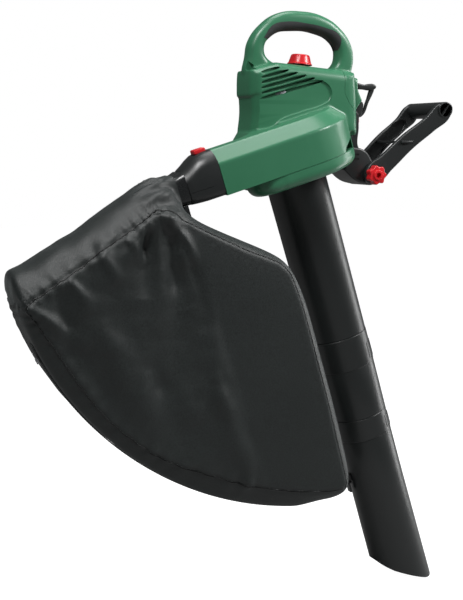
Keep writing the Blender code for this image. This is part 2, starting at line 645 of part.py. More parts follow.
def suction_tube():
    """The three tube lengths. Each lower one starts with a socket that takes the spigot above it."""
    band = 0.0006
    top, joint, nozzle_radius = TUBE_TOP_RADIUS, TUBE_JOINT_RADIUS, NOZZLE_RADIUS
    spigot_1 = joint - TUBE_WALL - GAP
    spigot_2 = nozzle_radius - TUBE_WALL - GAP
    stop_1, stop_2 = SOCKET_1_END_Z + 0.004, SOCKET_2_END_Z + 0.004

    outside = [(top, TUBE_TOP_Z), (joint, JOINT_1_Z + GAP), (spigot_1, JOINT_1_Z + GAP), (spigot_1, stop_1)]
    inside = [(spigot_1 - TUBE_WALL, stop_1), (spigot_1 - TUBE_WALL, JOINT_1_Z + 0.010),
              (top - TUBE_WALL - 0.0008, JOINT_1_Z + 0.030), (top - TUBE_WALL, TUBE_TOP_Z)]
    turned("upper_tube", outside + inside, BLACK, FAN_AXIS)

    outside = [(joint + band, JOINT_1_Z - GAP), (joint + band, SOCKET_1_END_Z),
               (joint, SOCKET_1_END_Z - 0.001), (nozzle_radius + band, JOINT_2_Z + GAP),
               (spigot_2, JOINT_2_Z + GAP), (spigot_2, stop_2)]
    inside = [(spigot_2 - TUBE_WALL, stop_2), (spigot_2 - TUBE_WALL, JOINT_2_Z + 0.012),
              (spigot_1 - TUBE_WALL, SOCKET_1_END_Z - 0.006), (spigot_1 - TUBE_WALL, stop_1 - 0.001),
              (joint - TUBE_WALL, stop_1 - 0.0008), (joint - TUBE_WALL, JOINT_1_Z - GAP)]
    turned("middle_tube", outside + inside, BLACK, FAN_AXIS)

    mouth, flare_z, end_z = nozzle_radius + 0.002, -0.60, -0.86
    outside = [(nozzle_radius + band, JOINT_2_Z - GAP), (nozzle_radius + band, SOCKET_2_END_Z),
               (nozzle_radius, SOCKET_2_END_Z - 0.001), (nozzle_radius, flare_z), (mouth, end_z)]
    inside = [(mouth - TUBE_WALL, end_z), (nozzle_radius - TUBE_WALL, flare_z),
              (spigot_2 - TUBE_WALL, SOCKET_2_END_Z - 0.006), (spigot_2 - TUBE_WALL, stop_2 - 0.001),
              (nozzle_radius - TUBE_WALL, stop_2 - 0.0008), (nozzle_radius - TUBE_WALL, JOINT_2_Z - GAP)]
    nozzle = turned("nozzle_tube", outside + inside, BLACK, FAN_AXIS)
    cut(nozzle, slab("nozzle_slope", [nozzle_rim()], -0.1, 0.1, parent=FAN_AXIS, fine=3))


def nozzle_rim():
    """What is cut off the nozzle's end: straight along the slope, with rounded corners at both ends."""
    def on_slope(x):
        return (x, NOZZLE_SHORT_Z - (x + NOZZLE_RADIUS) * math.tan(NOZZLE_SLOPE), 0)

    short_corner = [(-0.0750, -0.7080, 0), (-0.0530, -0.7330), (-0.0420, -0.7475)]
    long_corner = [(0.0300, -0.7985), (0.0420, -0.8010), (0.0510, -0.7920), (0.0570, -0.7780, 0)]
    beyond = [(0.0800, -0.7700, 0), (0.0800, -0.9000, 0), (-0.0750, -0.9000, 0)]
    return short_corner + [on_slope(-0.030), on_slope(0.016)] + long_corner + beyond


def loft(name, sections, material=None, parent=None):
    """A closed body through rounded rectangles across X.

    Each section is (x, middle y, half width, low z, high z, corner radius).
    """
    shape = bmesh.new()
    loops = []
    for x, middle_y, half_y, low, high, corner in sections:
        middle_z, half_z = (low + high) / 2, (high - low) / 2
        loop = []
        for quarter, (sy, sz) in enumerate(((1, 1), (-1, 1), (-1, -1), (1, -1))):
            centre = (middle_y + sy * (half_y - corner), middle_z + sz * (half_z - corner))
            for y, z in circle(centre, corner, 90 * quarter, 90 * quarter + 90, 4):
                loop.append(shape.verts.new((x, y, z)))
        loops.append(loop)
    for first, second in zip(loops, loops[1:]):
        for i, vertex in enumerate(first):
            following = (i + 1) % len(first)
            shape.faces.new((vertex, first[following], second[following], second[i]))
    shape.faces.new(loops[0])
    shape.faces.new(loops[-1])
    obj = from_bmesh(name, shape, material, parent)
    smooth(obj.data)
    return obj


def outlet():
    """The black connector on the duct's end, its release button, and the ring that the bag hangs on."""
    y, half = DUCT_CENTRE_Y, 0.0345
    start = DUCT_END_X - GAP
    connector = loft("outlet_connector", [(start, y, half, -0.012, 0.0620, 0.020),
                                          (-0.193, y, half - 0.001, -0.012, 0.0600, 0.019),
                                          (CONNECTOR_END_X, y, half - 0.004, -0.010, 0.0440, 0.012)],
                     BLACK, FAN_AXIS)
    inner = half - WALL
    cut(connector, loft("connector_hollow", [(start + 0.005, y, inner, -0.009, 0.0520, 0.010),
                                             (-0.193, y, inner - 0.001, -0.009, 0.0500, 0.010),
                                             (CONNECTOR_END_X - 0.005, y, inner - 0.004, -0.007, 0.0405,
                                              0.010)],
                        parent=FAN_AXIS))
    well = box("button_well", (-0.1905, y - 0.0095, 0.0560), (-0.1700, y + 0.0095, 0.0700), parent=FAN_AXIS)
    cut(connector, well)
    box("release_button", (-0.1900, y - 0.0090, 0.0600), (-0.1705, y + 0.0090, 0.0670), RED, FAN_AXIS,
        0.0012)
    spring("release_spring", 0.0035, 0.0004, (-0.1803, y, 0.0568), (-0.1803, y, 0.0592), 3, FAN_AXIS)
    neck = loft("bag_neck_ring", [(CONNECTOR_END_X - GAP, y, half - 0.0045, -0.0095, 0.0430, 0.012),
                                  (NECK_END_X + 0.002, y, half - 0.0065, -0.0085, 0.0395, 0.012),
                                  (NECK_END_X - 0.012, y, half - 0.0065, -0.0085, 0.0395, 0.012)],
                BLACK, FAN_AXIS)
    cut(neck, loft("neck_hollow", [(CONNECTOR_END_X + 0.005, y, half - 0.0085, -0.0060, 0.0395, 0.010),
                                   (NECK_END_X - 0.020, y, half - 0.0105, -0.0050, 0.0360, 0.010)],
                   parent=FAN_AXIS))


def bag_curve(inset=0.0, start=196.5, end=268.0, count=12):
    """The bag's long rounded back and bottom edge, in the tool's X and Z."""
    return circle(BAG_CURVE_CENTRE, BAG_CURVE_RADIUS - inset, start, end, count)


def bag_outline():
    back = bag_curve()
    front = [(0.046, -0.7780), (0.064, -0.7560), (0.0420, -0.6900), (0.0110, -0.5780), (-0.0250, -0.4600),
             (-0.0480, -0.3960), (-0.0730, -0.3800)]
    top = [(-0.1400, -0.3580), (-0.2000, -0.3320), (-0.2480, -0.3080, 0), (-0.2740, -0.2620, 0),
           (-0.3200, -0.2800), (-0.3800, -0.3280), (-0.4400, -0.3670), (-0.4880, -0.3960)]
    return back + front + top


def bag():
    """The leaf bag: a cloth shell, open at the neck that is clamped round the ring."""
    low, high = BAG_CENTRE_Y - BAG_HALF_WIDTH, BAG_CENTRE_Y + BAG_HALF_WIDTH
    y = DUCT_CENTRE_Y
    cloth = slab("bag", [bag_outline()], low, high, 0.022, fine=2)
    neck_out = loft("bag_neck_outside", [(NECK_END_X - GAP, y, 0.0310, -0.0118, 0.0428, 0.013),
                                         (NECK_END_X - 0.012, y, 0.0310, -0.0118, 0.0428, 0.013),
                                         (NECK_END_X - 0.060, y, 0.0450, -0.0300, 0.0300, 0.013)],
                    parent=FAN_AXIS)
    neck_in = loft("bag_neck_inside", [(NECK_END_X + 0.010, y, 0.0284, -0.0090, 0.0400, 0.0125),
                                       (NECK_END_X - 0.0125, y, 0.0284, -0.0090, 0.0400, 0.0125),
                                       (NECK_END_X - 0.060, y, 0.0400, -0.0240, 0.0260, 0.011)],
                   parent=FAN_AXIS)
    inside = slab("bag_inside", [bag_outline()], low + BAG_WALL, high - BAG_WALL, 0.020, BAG_WALL, fine=2)
    trim = box("bag_trim", (NECK_END_X - GAP, -0.12, -0.016), (-0.18, -0.03, 0.06), parent=FAN_AXIS)
    join(cloth, neck_out, solver=SURE)
    cut(cloth, join(inside, neck_in, solver=SURE), trim, solver=SURE)
    shell = baked("bag_shell", cloth)
    bpy.data.objects.remove(cloth)
    shell.name = "bag"
    keep(shell, CLOTH)


def bag_zip():
    """The long zip on the bag's back, and its slider."""
    tape = []
    for offset in (-0.0012, -0.0028):
        points = [(x, z, 0) for x, z in bag_curve(offset, 206.0, 262.0, 24)]
        tape += points if not tape else reversed(points)
    slab("zip_tape", [tape], ZIP_Y - 0.011, ZIP_Y + 0.011, material=CLOTH, fine=1)
    angle = math.radians(209.0)
    outward = Vector((math.cos(angle), math.sin(angle)))
    seat = Vector(BAG_CURVE_CENTRE) + outward * (BAG_CURVE_RADIUS + 0.0031)
    slider = box("zip_slider", (0.0, -0.0045, -0.0060), (0.0040, 0.0045, 0.0060), BLACK, rounding=0.0008)
    slider.location = (seat.x, ZIP_Y, seat.y)
    slider.rotation_euler = (0.0, -angle, 0.0)


def bag_hook():
    """The small hook on the tube's rear that the bag's lower corner is looped over."""
    root, tip = -(NOZZLE_RADIUS + 2 * GAP), -(NOZZLE_RADIUS + 0.0085)
    outline = [(root, -0.570, 0), (tip + 0.001, -0.571, 0), (tip, -0.574, 0), (tip, -0.602, 0),
               (tip + 0.003, -0.602, 0), (tip + 0.003, -0.580, 0), (root, -0.580, 0)]
    slab("bag_hook", [outline], -0.006, 0.006, material=BLACK, parent=FAN_AXIS, fine=1)


electrics()
motor()
fan()
scroll()
suction_tube()
housing()
housing_screws()
speed_dial()
cord_hook()
front_bracket()
tube_latch()
second_handle()
handle_clamp()
outlet()
bag()
bag_zip()
bag_hook()
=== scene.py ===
"""The looks of a leaf vacuum mulcher: a green blower housing, a black suction tube, a swinging second handle
and a cloth leaf bag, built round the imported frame. Metres, +Z up, +X forward, and the user's left is +Y.
"""

import math

import bmesh
import bpy
import numpy as np
from mathutils import Matrix, Vector, noise
from mathutils.bvhtree import BVHTree


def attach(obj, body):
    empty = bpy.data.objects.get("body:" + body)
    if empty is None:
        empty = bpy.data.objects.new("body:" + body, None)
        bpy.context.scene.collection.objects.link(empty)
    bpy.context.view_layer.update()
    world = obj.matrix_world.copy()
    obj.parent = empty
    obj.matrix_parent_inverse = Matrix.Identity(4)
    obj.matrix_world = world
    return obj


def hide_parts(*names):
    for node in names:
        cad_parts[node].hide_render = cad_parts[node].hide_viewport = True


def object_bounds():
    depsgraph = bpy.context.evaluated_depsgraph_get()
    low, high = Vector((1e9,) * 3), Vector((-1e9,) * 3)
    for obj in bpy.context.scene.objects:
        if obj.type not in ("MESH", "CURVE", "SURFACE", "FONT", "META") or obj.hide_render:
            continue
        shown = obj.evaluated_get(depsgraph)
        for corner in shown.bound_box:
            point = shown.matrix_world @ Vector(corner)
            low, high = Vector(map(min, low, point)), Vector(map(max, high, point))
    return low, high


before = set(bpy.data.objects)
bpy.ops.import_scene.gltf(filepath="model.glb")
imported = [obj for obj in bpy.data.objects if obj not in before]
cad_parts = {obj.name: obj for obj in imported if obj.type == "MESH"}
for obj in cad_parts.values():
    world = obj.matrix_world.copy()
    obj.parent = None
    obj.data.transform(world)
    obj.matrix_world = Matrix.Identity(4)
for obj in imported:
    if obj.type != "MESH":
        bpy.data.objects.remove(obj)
cad_low, cad_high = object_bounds()

# The studio: a pale floor just under the nozzle, a strong key light high on the left, a raking light on the
# right that brings out the folds, a broad one overhead, and a tall strip on the far right for the black
# tube's edges.

scene = bpy.context.scene
scene.view_settings.view_transform = "Standard"
azimuth, elevation = math.radians(-22.0), math.radians(7.5)
to_camera = Vector((math.sin(azimuth) * math.cos(elevation), -math.cos(azimuth) * math.cos(elevation),
                    math.sin(elevation)))
camera = bpy.data.objects.new("camera", bpy.data.cameras.new("camera"))
camera.data.lens = 72.0
camera.location = (-0.8581, -1.8353, -0.1980)
camera.rotation_euler = (-to_camera).to_track_quat("-Z", "Y").to_euler()
scene.collection.objects.link(camera)
scene.camera = camera


def soft_light(name, place, aim, width, height, power):
    lamp = bpy.data.lights.new(name, "AREA")
    lamp.shape, lamp.size, lamp.size_y, lamp.energy = "RECTANGLE", width, height, power
    light = bpy.data.objects.new(name, lamp)
    light.location = place
    light.rotation_euler = (Vector(aim) - Vector(place)).to_track_quat("-Z", "Y").to_euler()
    scene.collection.objects.link(light)


soft_light("key_light", (-1.4, -1.3, 2.1), (-0.05, 0.0, -0.25), 0.8, 0.8, 66.0)
soft_light("fill_light", (1.2, -0.85, 0.7), (-0.1, 0.0, -0.45), 0.5, 0.5, 26.0)
soft_light("top_light", (0.1, 0.1, 1.8), (-0.05, 0.0, -0.3), 1.4, 1.0, 26.0)
soft_light("edge_light", (1.5, 0.1, -0.2), (0.05, 0.0, -0.5), 0.35, 1.8, 14.0)

world = bpy.data.worlds.new("studio")
scene.world = world
world.use_nodes = True
sky = world.node_tree.nodes["Background"]
sky.inputs["Color"].default_value = (1.0, 1.0, 1.0, 1.0)
sky.inputs["Strength"].default_value = 0.08
seen = world.node_tree.nodes.new("ShaderNodeBackground")
seen.inputs["Color"].default_value = (1.0, 1.0, 1.0, 1.0)
split = world.node_tree.nodes.new("ShaderNodeMixShader")
path = world.node_tree.nodes.new("ShaderNodeLightPath")
world.node_tree.links.new(path.outputs["Is Camera Ray"], split.inputs[0])
world.node_tree.links.new(sky.outputs[0], split.inputs[1])
world.node_tree.links.new(seen.outputs[0], split.inputs[2])
world.node_tree.links.new(split.outputs[0], world.node_tree.nodes["World Output"].inputs["Surface"])

floor_shape = bmesh.new()
bmesh.ops.create_grid(floor_shape, x_segments=1, y_segments=1, size=9.0,
                      matrix=Matrix.Translation((0, 0, cad_low.z - 0.001)))
floor_mesh = bpy.data.meshes.new("studio_floor")
floor_shape.to_mesh(floor_mesh)
floor_shape.free()
floor = bpy.data.objects.new("studio_floor", floor_mesh)
scene.collection.objects.link(floor)
floor_paint = bpy.data.materials.new("floor_paint")
floor_paint.use_nodes = True
floor_nodes, floor_links = floor_paint.node_tree.nodes, floor_paint.node_tree.links
floor_shader = floor_nodes["Principled BSDF"]
floor_shader.inputs["Base Color"].default_value = (0.30, 0.30, 0.30, 1.0)
floor_shader.inputs["Roughness"].default_value = 0.9
glow = floor_nodes.new("ShaderNodeEmission")
glow.inputs["Strength"].default_value = 1.0
both = floor_nodes.new("ShaderNodeAddShader")
choose = floor_nodes.new("ShaderNodeMixShader")
ray = floor_nodes.new("ShaderNodeLightPath")
floor_links.new(floor_shader.outputs[0], both.inputs[0])
floor_links.new(glow.outputs[0], both.inputs[1])
floor_links.new(ray.outputs["Is Camera Ray"], choose.inputs[0])
floor_links.new(floor_shader.outputs[0], choose.inputs[1])
floor_links.new(both.outputs[0], choose.inputs[2])
floor_links.new(choose.outputs[0], floor_nodes["Material Output"].inputs["Surface"])
floor_mesh.materials.append(floor_paint)

# The motor housing and its loop handle are two mirrored shells of green glass-filled nylon, screwed together
# down the middle. The fan chamber's upper half grows out of their foot with a soft hollow between.

FAN = Matrix.Translation((-0.013, 0.0, -0.220)) @ Matrix.Rotation(math.radians(-17.0), 4, "Y")
HANDLE = [(-0.096, -0.090), (-0.092, -0.061), (-0.087, -0.036), (-0.065, -0.007), (-0.036, 0.011),
          (0.0, 0.0155), (0.046, 0.008), (0.078, -0.012), (0.096, -0.036), (0.101, -0.060), (0.098, -0.080),
          (0.094, -0.100, 0), (0.0, -0.100, 0), (-0.090, -0.100, 0)]
HAND_HOLE = [(-0.0625, -0.050), (-0.048, -0.0255), (-0.006, -0.0160), (0.030, -0.0190), (0.0605, -0.0320),
             (0.0705, -0.050), (0.060, -0.0755), (0.028, -0.0742), (-0.016, -0.0708), (-0.048, -0.0680)]
BODY = [(-0.0955, -0.0826, 0), (-0.050, -0.0695, 0), (0.060, -0.0790, 0), (0.0925, -0.083, 0),
        (0.095, -0.110), (0.097, -0.150), (0.098, -0.187, 0), (0.040, -0.187, 0), (-0.060, -0.187, 0),
        (-0.0955, -0.181, 0), (-0.0920, -0.150), (-0.0930, -0.126, 0), (-0.0965, -0.124, 0),
        (-0.0965, -0.100)]
DUCT_END = -0.165
SCROLL_TOP = 0.062
PARTING = -0.012


def thing(shape, seat=None):
    """A working object from a bmesh, with its place put into the mesh."""
    if seat:
        bmesh.ops.transform(shape, matrix=seat, verts=shape.verts)
    mesh = bpy.data.meshes.new("working")
    shape.to_mesh(mesh)
    shape.free()
    obj = bpy.data.objects.new("working", mesh)
    scene.collection.objects.link(obj)
    return obj


def plate(loops, low, high, rounding=0.0, inset=0.0, plan=False, seat=None, steps=8, rim=4):
    """Flat outlines given a thickness and rounded rims. A point with a third value is a corner.

    A side outline is in X and Z, and a plan outline in X and Y.
    """
    curve = bpy.data.curves.new("outline", "CURVE")
    curve.dimensions = "2D"
    curve.fill_mode = "BOTH"
    curve.resolution_u = steps
    curve.extrude = (high - low) / 2 - rounding
    curve.bevel_depth = rounding
    curve.bevel_resolution = rim
    curve.offset = -rounding - inset
    for loop in loops:
        spline = curve.splines.new("BEZIER")
        spline.use_cyclic_u = True
        spline.bezier_points.add(len(loop) - 1)
        for knot, point in zip(spline.bezier_points, loop):
            knot.co = (point[0], point[1], 0.0)
            knot.handle_left_type = knot.handle_right_type = "VECTOR" if len(point) > 2 else "AUTO"
    guide = bpy.data.objects.new("outline", curve)
    scene.collection.objects.link(guide)
    mesh = bpy.data.meshes.new_from_object(guide.evaluated_get(bpy.context.evaluated_depsgraph_get()))
    bpy.data.objects.remove(guide)
    shape = bmesh.new()
    shape.from_mesh(mesh)
    bmesh.ops.remove_doubles(shape, verts=shape.verts, dist=0.00001)
    middle = (low + high) / 2
    if plan:
        bmesh.ops.translate(shape, vec=(0, 0, middle), verts=shape.verts)
    else:
        bmesh.ops.rotate(shape, cent=(0, 0, 0), matrix=Matrix.Rotation(math.pi / 2, 3, "X"),
                         verts=shape.verts)
        bmesh.ops.translate(shape, vec=(0, middle, 0), verts=shape.verts)
    bmesh.ops.recalc_face_normals(shape, faces=shape.faces)
    return thing(shape, seat)


def block(low, high, rounding=0.0, seat=None, segments=3):
    """A bar between two corners, its edges rounded if asked."""
    shape = bmesh.new()
    bmesh.ops.create_cube(shape, size=1.0)
    bmesh.ops.scale(shape, vec=[b - a for a, b in zip(low, high)], verts=shape.verts)
    bmesh.ops.translate(shape, vec=[(a + b) / 2 for a, b in zip(low, high)], verts=shape.verts)
    if rounding:
        bmesh.ops.bevel(shape, geom=shape.edges, offset=rounding, segments=segments, profile=0.5,
                        affect="EDGES", material=-1)
    return thing(shape, seat)


def rod(radius, start, end, seat=None, sides=48, rounding=0.0, end_radius=None):
    """A round bar from one point to another, its rims rounded if asked."""
    start, end = Vector(start), Vector(end)
    along = end - start
    turn = along.to_track_quat("Z", "Y").to_matrix().to_4x4()
    shape = bmesh.new()
    bmesh.ops.create_cone(shape, cap_ends=True, segments=sides, radius1=radius,
                          radius2=radius if end_radius is None else end_radius, depth=along.length,
                          matrix=Matrix.Translation((start + end) / 2) @ turn)
    if rounding:
        rims = [edge for edge in shape.edges if any(len(face.verts) > 4 for face in edge.link_faces)]
        bmesh.ops.bevel(shape, geom=rims, offset=rounding, segments=3, profile=0.5, affect="EDGES",
                        material=-1)
    return thing(shape, seat)


def settled(obj):
    """Bakes an object's modifiers into its mesh."""
    bpy.context.view_layer.update()
    mesh = bpy.data.meshes.new_from_object(obj.evaluated_get(bpy.context.evaluated_depsgraph_get()))
    obj.modifiers.clear()
    obj.data = mesh
    return obj


def change(obj, others, operation, solver="MANIFOLD"):
    for other in others:
        step = obj.modifiers.new(operation, "BOOLEAN")
        step.operation, step.solver, step.object = operation, solver, other
    settled(obj)
    for other in others:
        bpy.data.objects.remove(other)
    return obj


def carve(obj, *others):
    return change(obj, others, "DIFFERENCE")


def fuse(obj, *others):
    return change(obj, others, "UNION")


def common(obj, *others):
    return change(obj, others, "INTERSECT")


def twin(obj):
    """A working copy."""
    other = bpy.data.objects.new("working", obj.data.copy())
    scene.collection.objects.link(other)
    return other


def mirrored(obj):
    """A working copy on the other side of the machine's middle."""
    other = twin(obj)
    shape = bmesh.new()
    shape.from_mesh(other.data)
    bmesh.ops.scale(shape, vec=(1, -1, 1), verts=shape.verts)
    bmesh.ops.reverse_faces(shape, faces=shape.faces)
    shape.to_mesh(other.data)
    shape.free()
    return other


def melted(shapes, grain, passes):
    """Several closed shapes made one skin, with soft hollows where they meet."""
    joined = bmesh.new()
    for shape in shapes:
        joined.from_mesh(shape.data)
        bpy.data.objects.remove(shape)
    obj = thing(joined)
    skin = obj.modifiers.new("skin", "REMESH")
    skin.mode, skin.voxel_size = "VOXEL", grain
    soften = obj.modifiers.new("soften", "SMOOTH")
    soften.factor, soften.iterations = 0.5, passes
    return settled(obj)


def ribbon(points, half_widths):
    """A closed outline round a path, with round ends."""
    points = [Vector(point) for point in points]
    left, right = [], []
    for i, point in enumerate(points):
        along = (points[min(i + 1, len(points) - 1)] - points[max(i - 1, 0)]).normalized()
        side = Vector((-along.y, along.x)) * half_widths[i]
        left.append(point + side)
        right.append(point - side)
    first = points[0] + (points[0] - points[1]).normalized() * half_widths[0]
    last = points[-1] + (points[-1] - points[-2]).normalized() * half_widths[-1]
    return [tuple(p) for p in [first, *left, last, *reversed(right)]]


def arc(centre, radius, start=0.0, end=360.0, count=8):
    """Points on an arc, in degrees. A whole circle leaves out its last point."""
    steps = count if end - start == 360.0 else count - 1
    angles = [math.radians(start + (end - start) * i / steps) for i in range(count)]
    return [(centre[0] + radius * math.cos(a), centre[1] + radius * math.sin(a)) for a in angles]


class Flow:
    """A shader socket that can stand in a sum."""

    def __init__(self, tree, socket=None):
        self.tree, self.socket = tree, socket

    def node(self, kind, settings=None, sockets=None, output=0):
        """Adds a node: its settings first, then the values or links of its sockets."""
        made = self.tree.nodes.new(kind)
        for name, value in (settings or {}).items():
            if name == "stops":
                for i, (position, shade) in enumerate(value):
                    stops = made.color_ramp.elements
                    stop = stops[i] if i < len(stops) else stops.new(position)
                    stop.position, stop.color = position, (shade, shade, shade, 1.0)
            else:
                setattr(made, name, value)
        for name, value in (sockets or {}).items():
            if isinstance(value, Flow):
                self.tree.links.new(value.socket, made.inputs[name])
            else:
                made.inputs[name].default_value = value
        return Flow(self.tree, made.outputs[output])

    def maths(self, operation, first, second):
        return self.node("ShaderNodeMath", {"operation": operation}, {0: first, 1: second})

    def __add__(self, other):
        return self.maths("ADD", self, other)

    __radd__ = __add__

    def __sub__(self, other):
        return self.maths("SUBTRACT", self, other)

    def __rsub__(self, other):
        return self.maths("SUBTRACT", other, self)

    def __mul__(self, other):
        return self.maths("MULTIPLY", self, other)

    __rmul__ = __mul__


def new_finish(name):
    """An empty material, its flow and its shader."""
    material = bpy.data.materials.new(name)
    material.use_nodes = True
    return material, Flow(material.node_tree), material.node_tree.nodes["Principled BSDF"]


def noise_at(flow, place, scale, detail=3.0, roughness=0.55):
    return flow.node("ShaderNodeTexNoise", None,
                     {"Vector": place, "Scale": scale, "Detail": detail, "Roughness": roughness})


def blended(flow, share, first, second):
    return flow.node("ShaderNodeMix", {"data_type": "RGBA"}, {0: share, 6: (*first, 1.0), 7: (*second, 1.0)},
                     2)


def feed(shader, **links):
    for name, flow in links.items():
        flow.tree.links.new(flow.socket, shader.inputs[name.replace("_", " ")])


def moulded(name, colour, gloss, grain=1400.0, depth=0.00006, tone=0.10, scuff=0.0):
    """Moulded plastic: a fine eroded grain, a slightly uneven colour and gloss, and light scuffs."""
    material, flow, shader = new_finish(name)
    place = flow.node("ShaderNodeTexCoord", output=3)
    cloudy = noise_at(flow, place, 14.0)
    fine = noise_at(flow, place, grain, 2.0)
    dust = noise_at(flow, place, 90.0, 5.0, 0.7)
    darker = tuple(c * (1 - tone) for c in colour)
    lighter = tuple(min(1.0, c * (1 + tone) + 0.002) for c in colour)
    feed(shader, Base_Color=blended(flow, cloudy * 0.7 + fine * 0.3, darker, lighter))
    worn = dust * scuff if scuff else dust * 0.04
    feed(shader, Roughness=cloudy * 0.08 + fine * 0.06 + worn + (gloss - 0.09))
    bump = flow.node("ShaderNodeBump", None, {"Strength": 0.6, "Distance": depth, "Height": fine})
    feed(shader, Normal=bump)
    return material


GREEN = moulded("green_nylon", (0.036, 0.168, 0.086), 0.34, 1100.0, 0.00005)


def piece(name, obj, material, body="root", nodes=(), crease=30.0):
    """Names a working object, gives it its material and rides it on its body in place of its CAD nodes."""
    obj.name = obj.data.name = name
    obj.data.materials.clear()
    obj.data.materials.append(material)
    obj.data.shade_smooth()
    obj.data.set_sharp_from_angle(angle=math.radians(crease))
    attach(obj, body)
    if nodes:
        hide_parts(*nodes)
    return obj


def spiral(start, growth, step=13):
    """The fan chamber's wall, seen from above in the fan's frame. It grows clockwise."""
    points = []
    for turned_by in range(0, 261, step):
        angle = math.radians(180 - turned_by)
        radius = start + growth * turned_by / 270
        points.append((radius * math.cos(angle), radius * math.sin(angle)))
    return points


duct = [(-0.012, -0.1110, 0), (DUCT_END - 0.040, -0.1110, 0), (DUCT_END - 0.040, -0.0420, 0),
        (-0.112, -0.0420, 0), (-0.0965, -0.030, 0)]
chamber = plate([spiral(0.092, 0.019) + duct], -0.05, SCROLL_TOP - 0.0012, 0.0220, plan=True, seat=FAN, rim=0)
skin = melted([plate([HANDLE, HAND_HOLE], -0.0165, 0.0165, 0.0115),
               plate([BODY], -0.042, 0.042, 0.018), chamber], 0.0014, 18)
carve(skin, block((-0.40, -0.20, -0.20), (DUCT_END, 0.0, 0.20), seat=FAN))

handle_skin = twin(skin)  # for the grip pad, before the grooves are cut

BADGE = [(-0.110, -0.1355, 0), (-0.0437, -0.1138), (0.0135, -0.0969), (0.0317, -0.1000), (0.0446, -0.1140),
         (0.0430, -0.1280), (0.0321, -0.1362), (-0.0131, -0.1510), (-0.0450, -0.1620), (-0.0600, -0.1735),
         (-0.0800, -0.1785), (-0.110, -0.1795, 0)]
REAR_NICK = [(-0.105, -0.0625, 0), (-0.098, -0.0630, 0), (-0.0840, -0.0745, 0), (-0.0848, -0.0822, 0),
             (-0.105, -0.0830, 0)]
COVER_SEAM = [(0.0690, -0.0760, 0), (0.0690, -0.1180, 0), (0.0770, -0.1330, 0), (0.0880, -0.1460, 0),
              (0.1050, -0.1500, 0), (0.1050, -0.1506, 0), (0.0877, -0.1466, 0), (0.0764, -0.1333, 0),
              (0.0683, -0.1182, 0), (0.0683, -0.0760, 0)]
cuts = [plate([BADGE], -0.060, -0.0392, 0.0040, rim=6), plate([REAR_NICK], -0.030, -0.0095, 0.001),
        carve(plate([COVER_SEAM], -0.060, -0.0185), plate([BODY], -0.0412, 0.0412, 0.0192, 0.0008))]
for number in range(6):
    start = Vector((-0.0795, -0.0865 - 0.0083 * number))
    reach = 0.030 + 0.0152 * number
    tip = start + Vector((reach, reach * 0.27))
    cuts.append(plate([ribbon([start, tip], [0.0014, 0.0014])], -0.060, -0.0330, steps=4))
    cuts.append(plate([ribbon([start, tip], [0.0024, 0.0024])], -0.060, -0.0407, 0.0010, steps=4, rim=2))
carve(skin, *[mirrored(cutter) for cutter in cuts], *cuts)

# The parting lines: the fan chamber ends flat on its lower cover, and the two shells meet on the middle.
above = block((-0.4, -0.2, SCROLL_TOP + 0.0028), (0.3, 0.2, 0.4), seat=FAN)
chamber_top = carve(twin(skin), twin(above), block((-0.4, -0.2, -0.2), (0.3, 0.2, PARTING), seat=FAN))
common(skin, above)
dial_well = rod(0.0218, (0.0052, 0, -0.0725), (0.0064, 0, -0.0585), sides=64)
carve(skin, dial_well)
notch = plate([[(0.0560, -0.0130, 0), (0.0640, -0.0035, 0), (0.0860, 0.0050, 0), (0.0860, -0.0150, 0),
                (0.0600, -0.0200, 0)]], -0.098, -0.052, 0.0012, seat=FAN)
carve(chamber_top, notch)
for side, name in ((-1, "right"), (1, "left")):
    half = twin(skin)
    near, far = sorted((side * 0.00012, -side * 0.3))
    carve(half, block((-0.4, near, -0.4), (0.4, far, 0.3)))
    piece(f"housing_shell_{name}", half, GREEN, nodes=[f"housing_{name}"])
bpy.data.objects.remove(skin)
piece("fan_chamber_top", chamber_top, GREEN, nodes=["scroll_upper"])

# The lower cover closes the fan chamber and carries the suction collar. It is the same green nylon, held by a
# parting groove all round, with a few stiffening ribs behind the collar.

cover_line = spiral(0.092, 0.019) + [(-0.060, -0.1105, 0), (-0.095, -0.104), (-0.111, -0.085),
                                     (-0.108, -0.050), (-0.0965, -0.028)]
cover = melted([plate([cover_line], -0.037, 0.010, 0.014, plan=True, seat=FAN),
                rod(0.0560, (0, 0, -0.0365), (0, 0, 0), FAN)], 0.0014, 8)
carve(cover, block((-0.4, -0.2, PARTING - 0.0008), (0.3, 0.2, 0.2), seat=FAN))
lip = plate([cover_line], PARTING - 0.003, PARTING + 0.003, 0.0, 0.0022, plan=True, seat=FAN)
fuse(cover, common(lip, block((-0.4, -0.2, PARTING - 0.003), (0.3, 0.2, PARTING - 0.0001), seat=FAN)))
for number in range(4):
    x = -0.0905 - 0.0052 * number
    fuse(cover, block((x - 0.0009, -0.097, -0.034 + 0.003 * number), (x + 0.0009, -0.062, -0.020), 0.0004,
                      FAN))
carve(cover, rod(0.0442, (0, 0, -0.10), (0, 0, -0.034), FAN, 96))
fuse(cover, carve(rod(0.0472, (0, 0, -0.075), (0, 0, -0.030), FAN, 96),
                  rod(0.0442, (0, 0, -0.10), (0, 0, 0), FAN, 96)))
piece("fan_chamber_cover", cover, GREEN, nodes=["scroll_lower"])

# The front cap closes the housing's nose and carries the nub that the cord hook grows from.

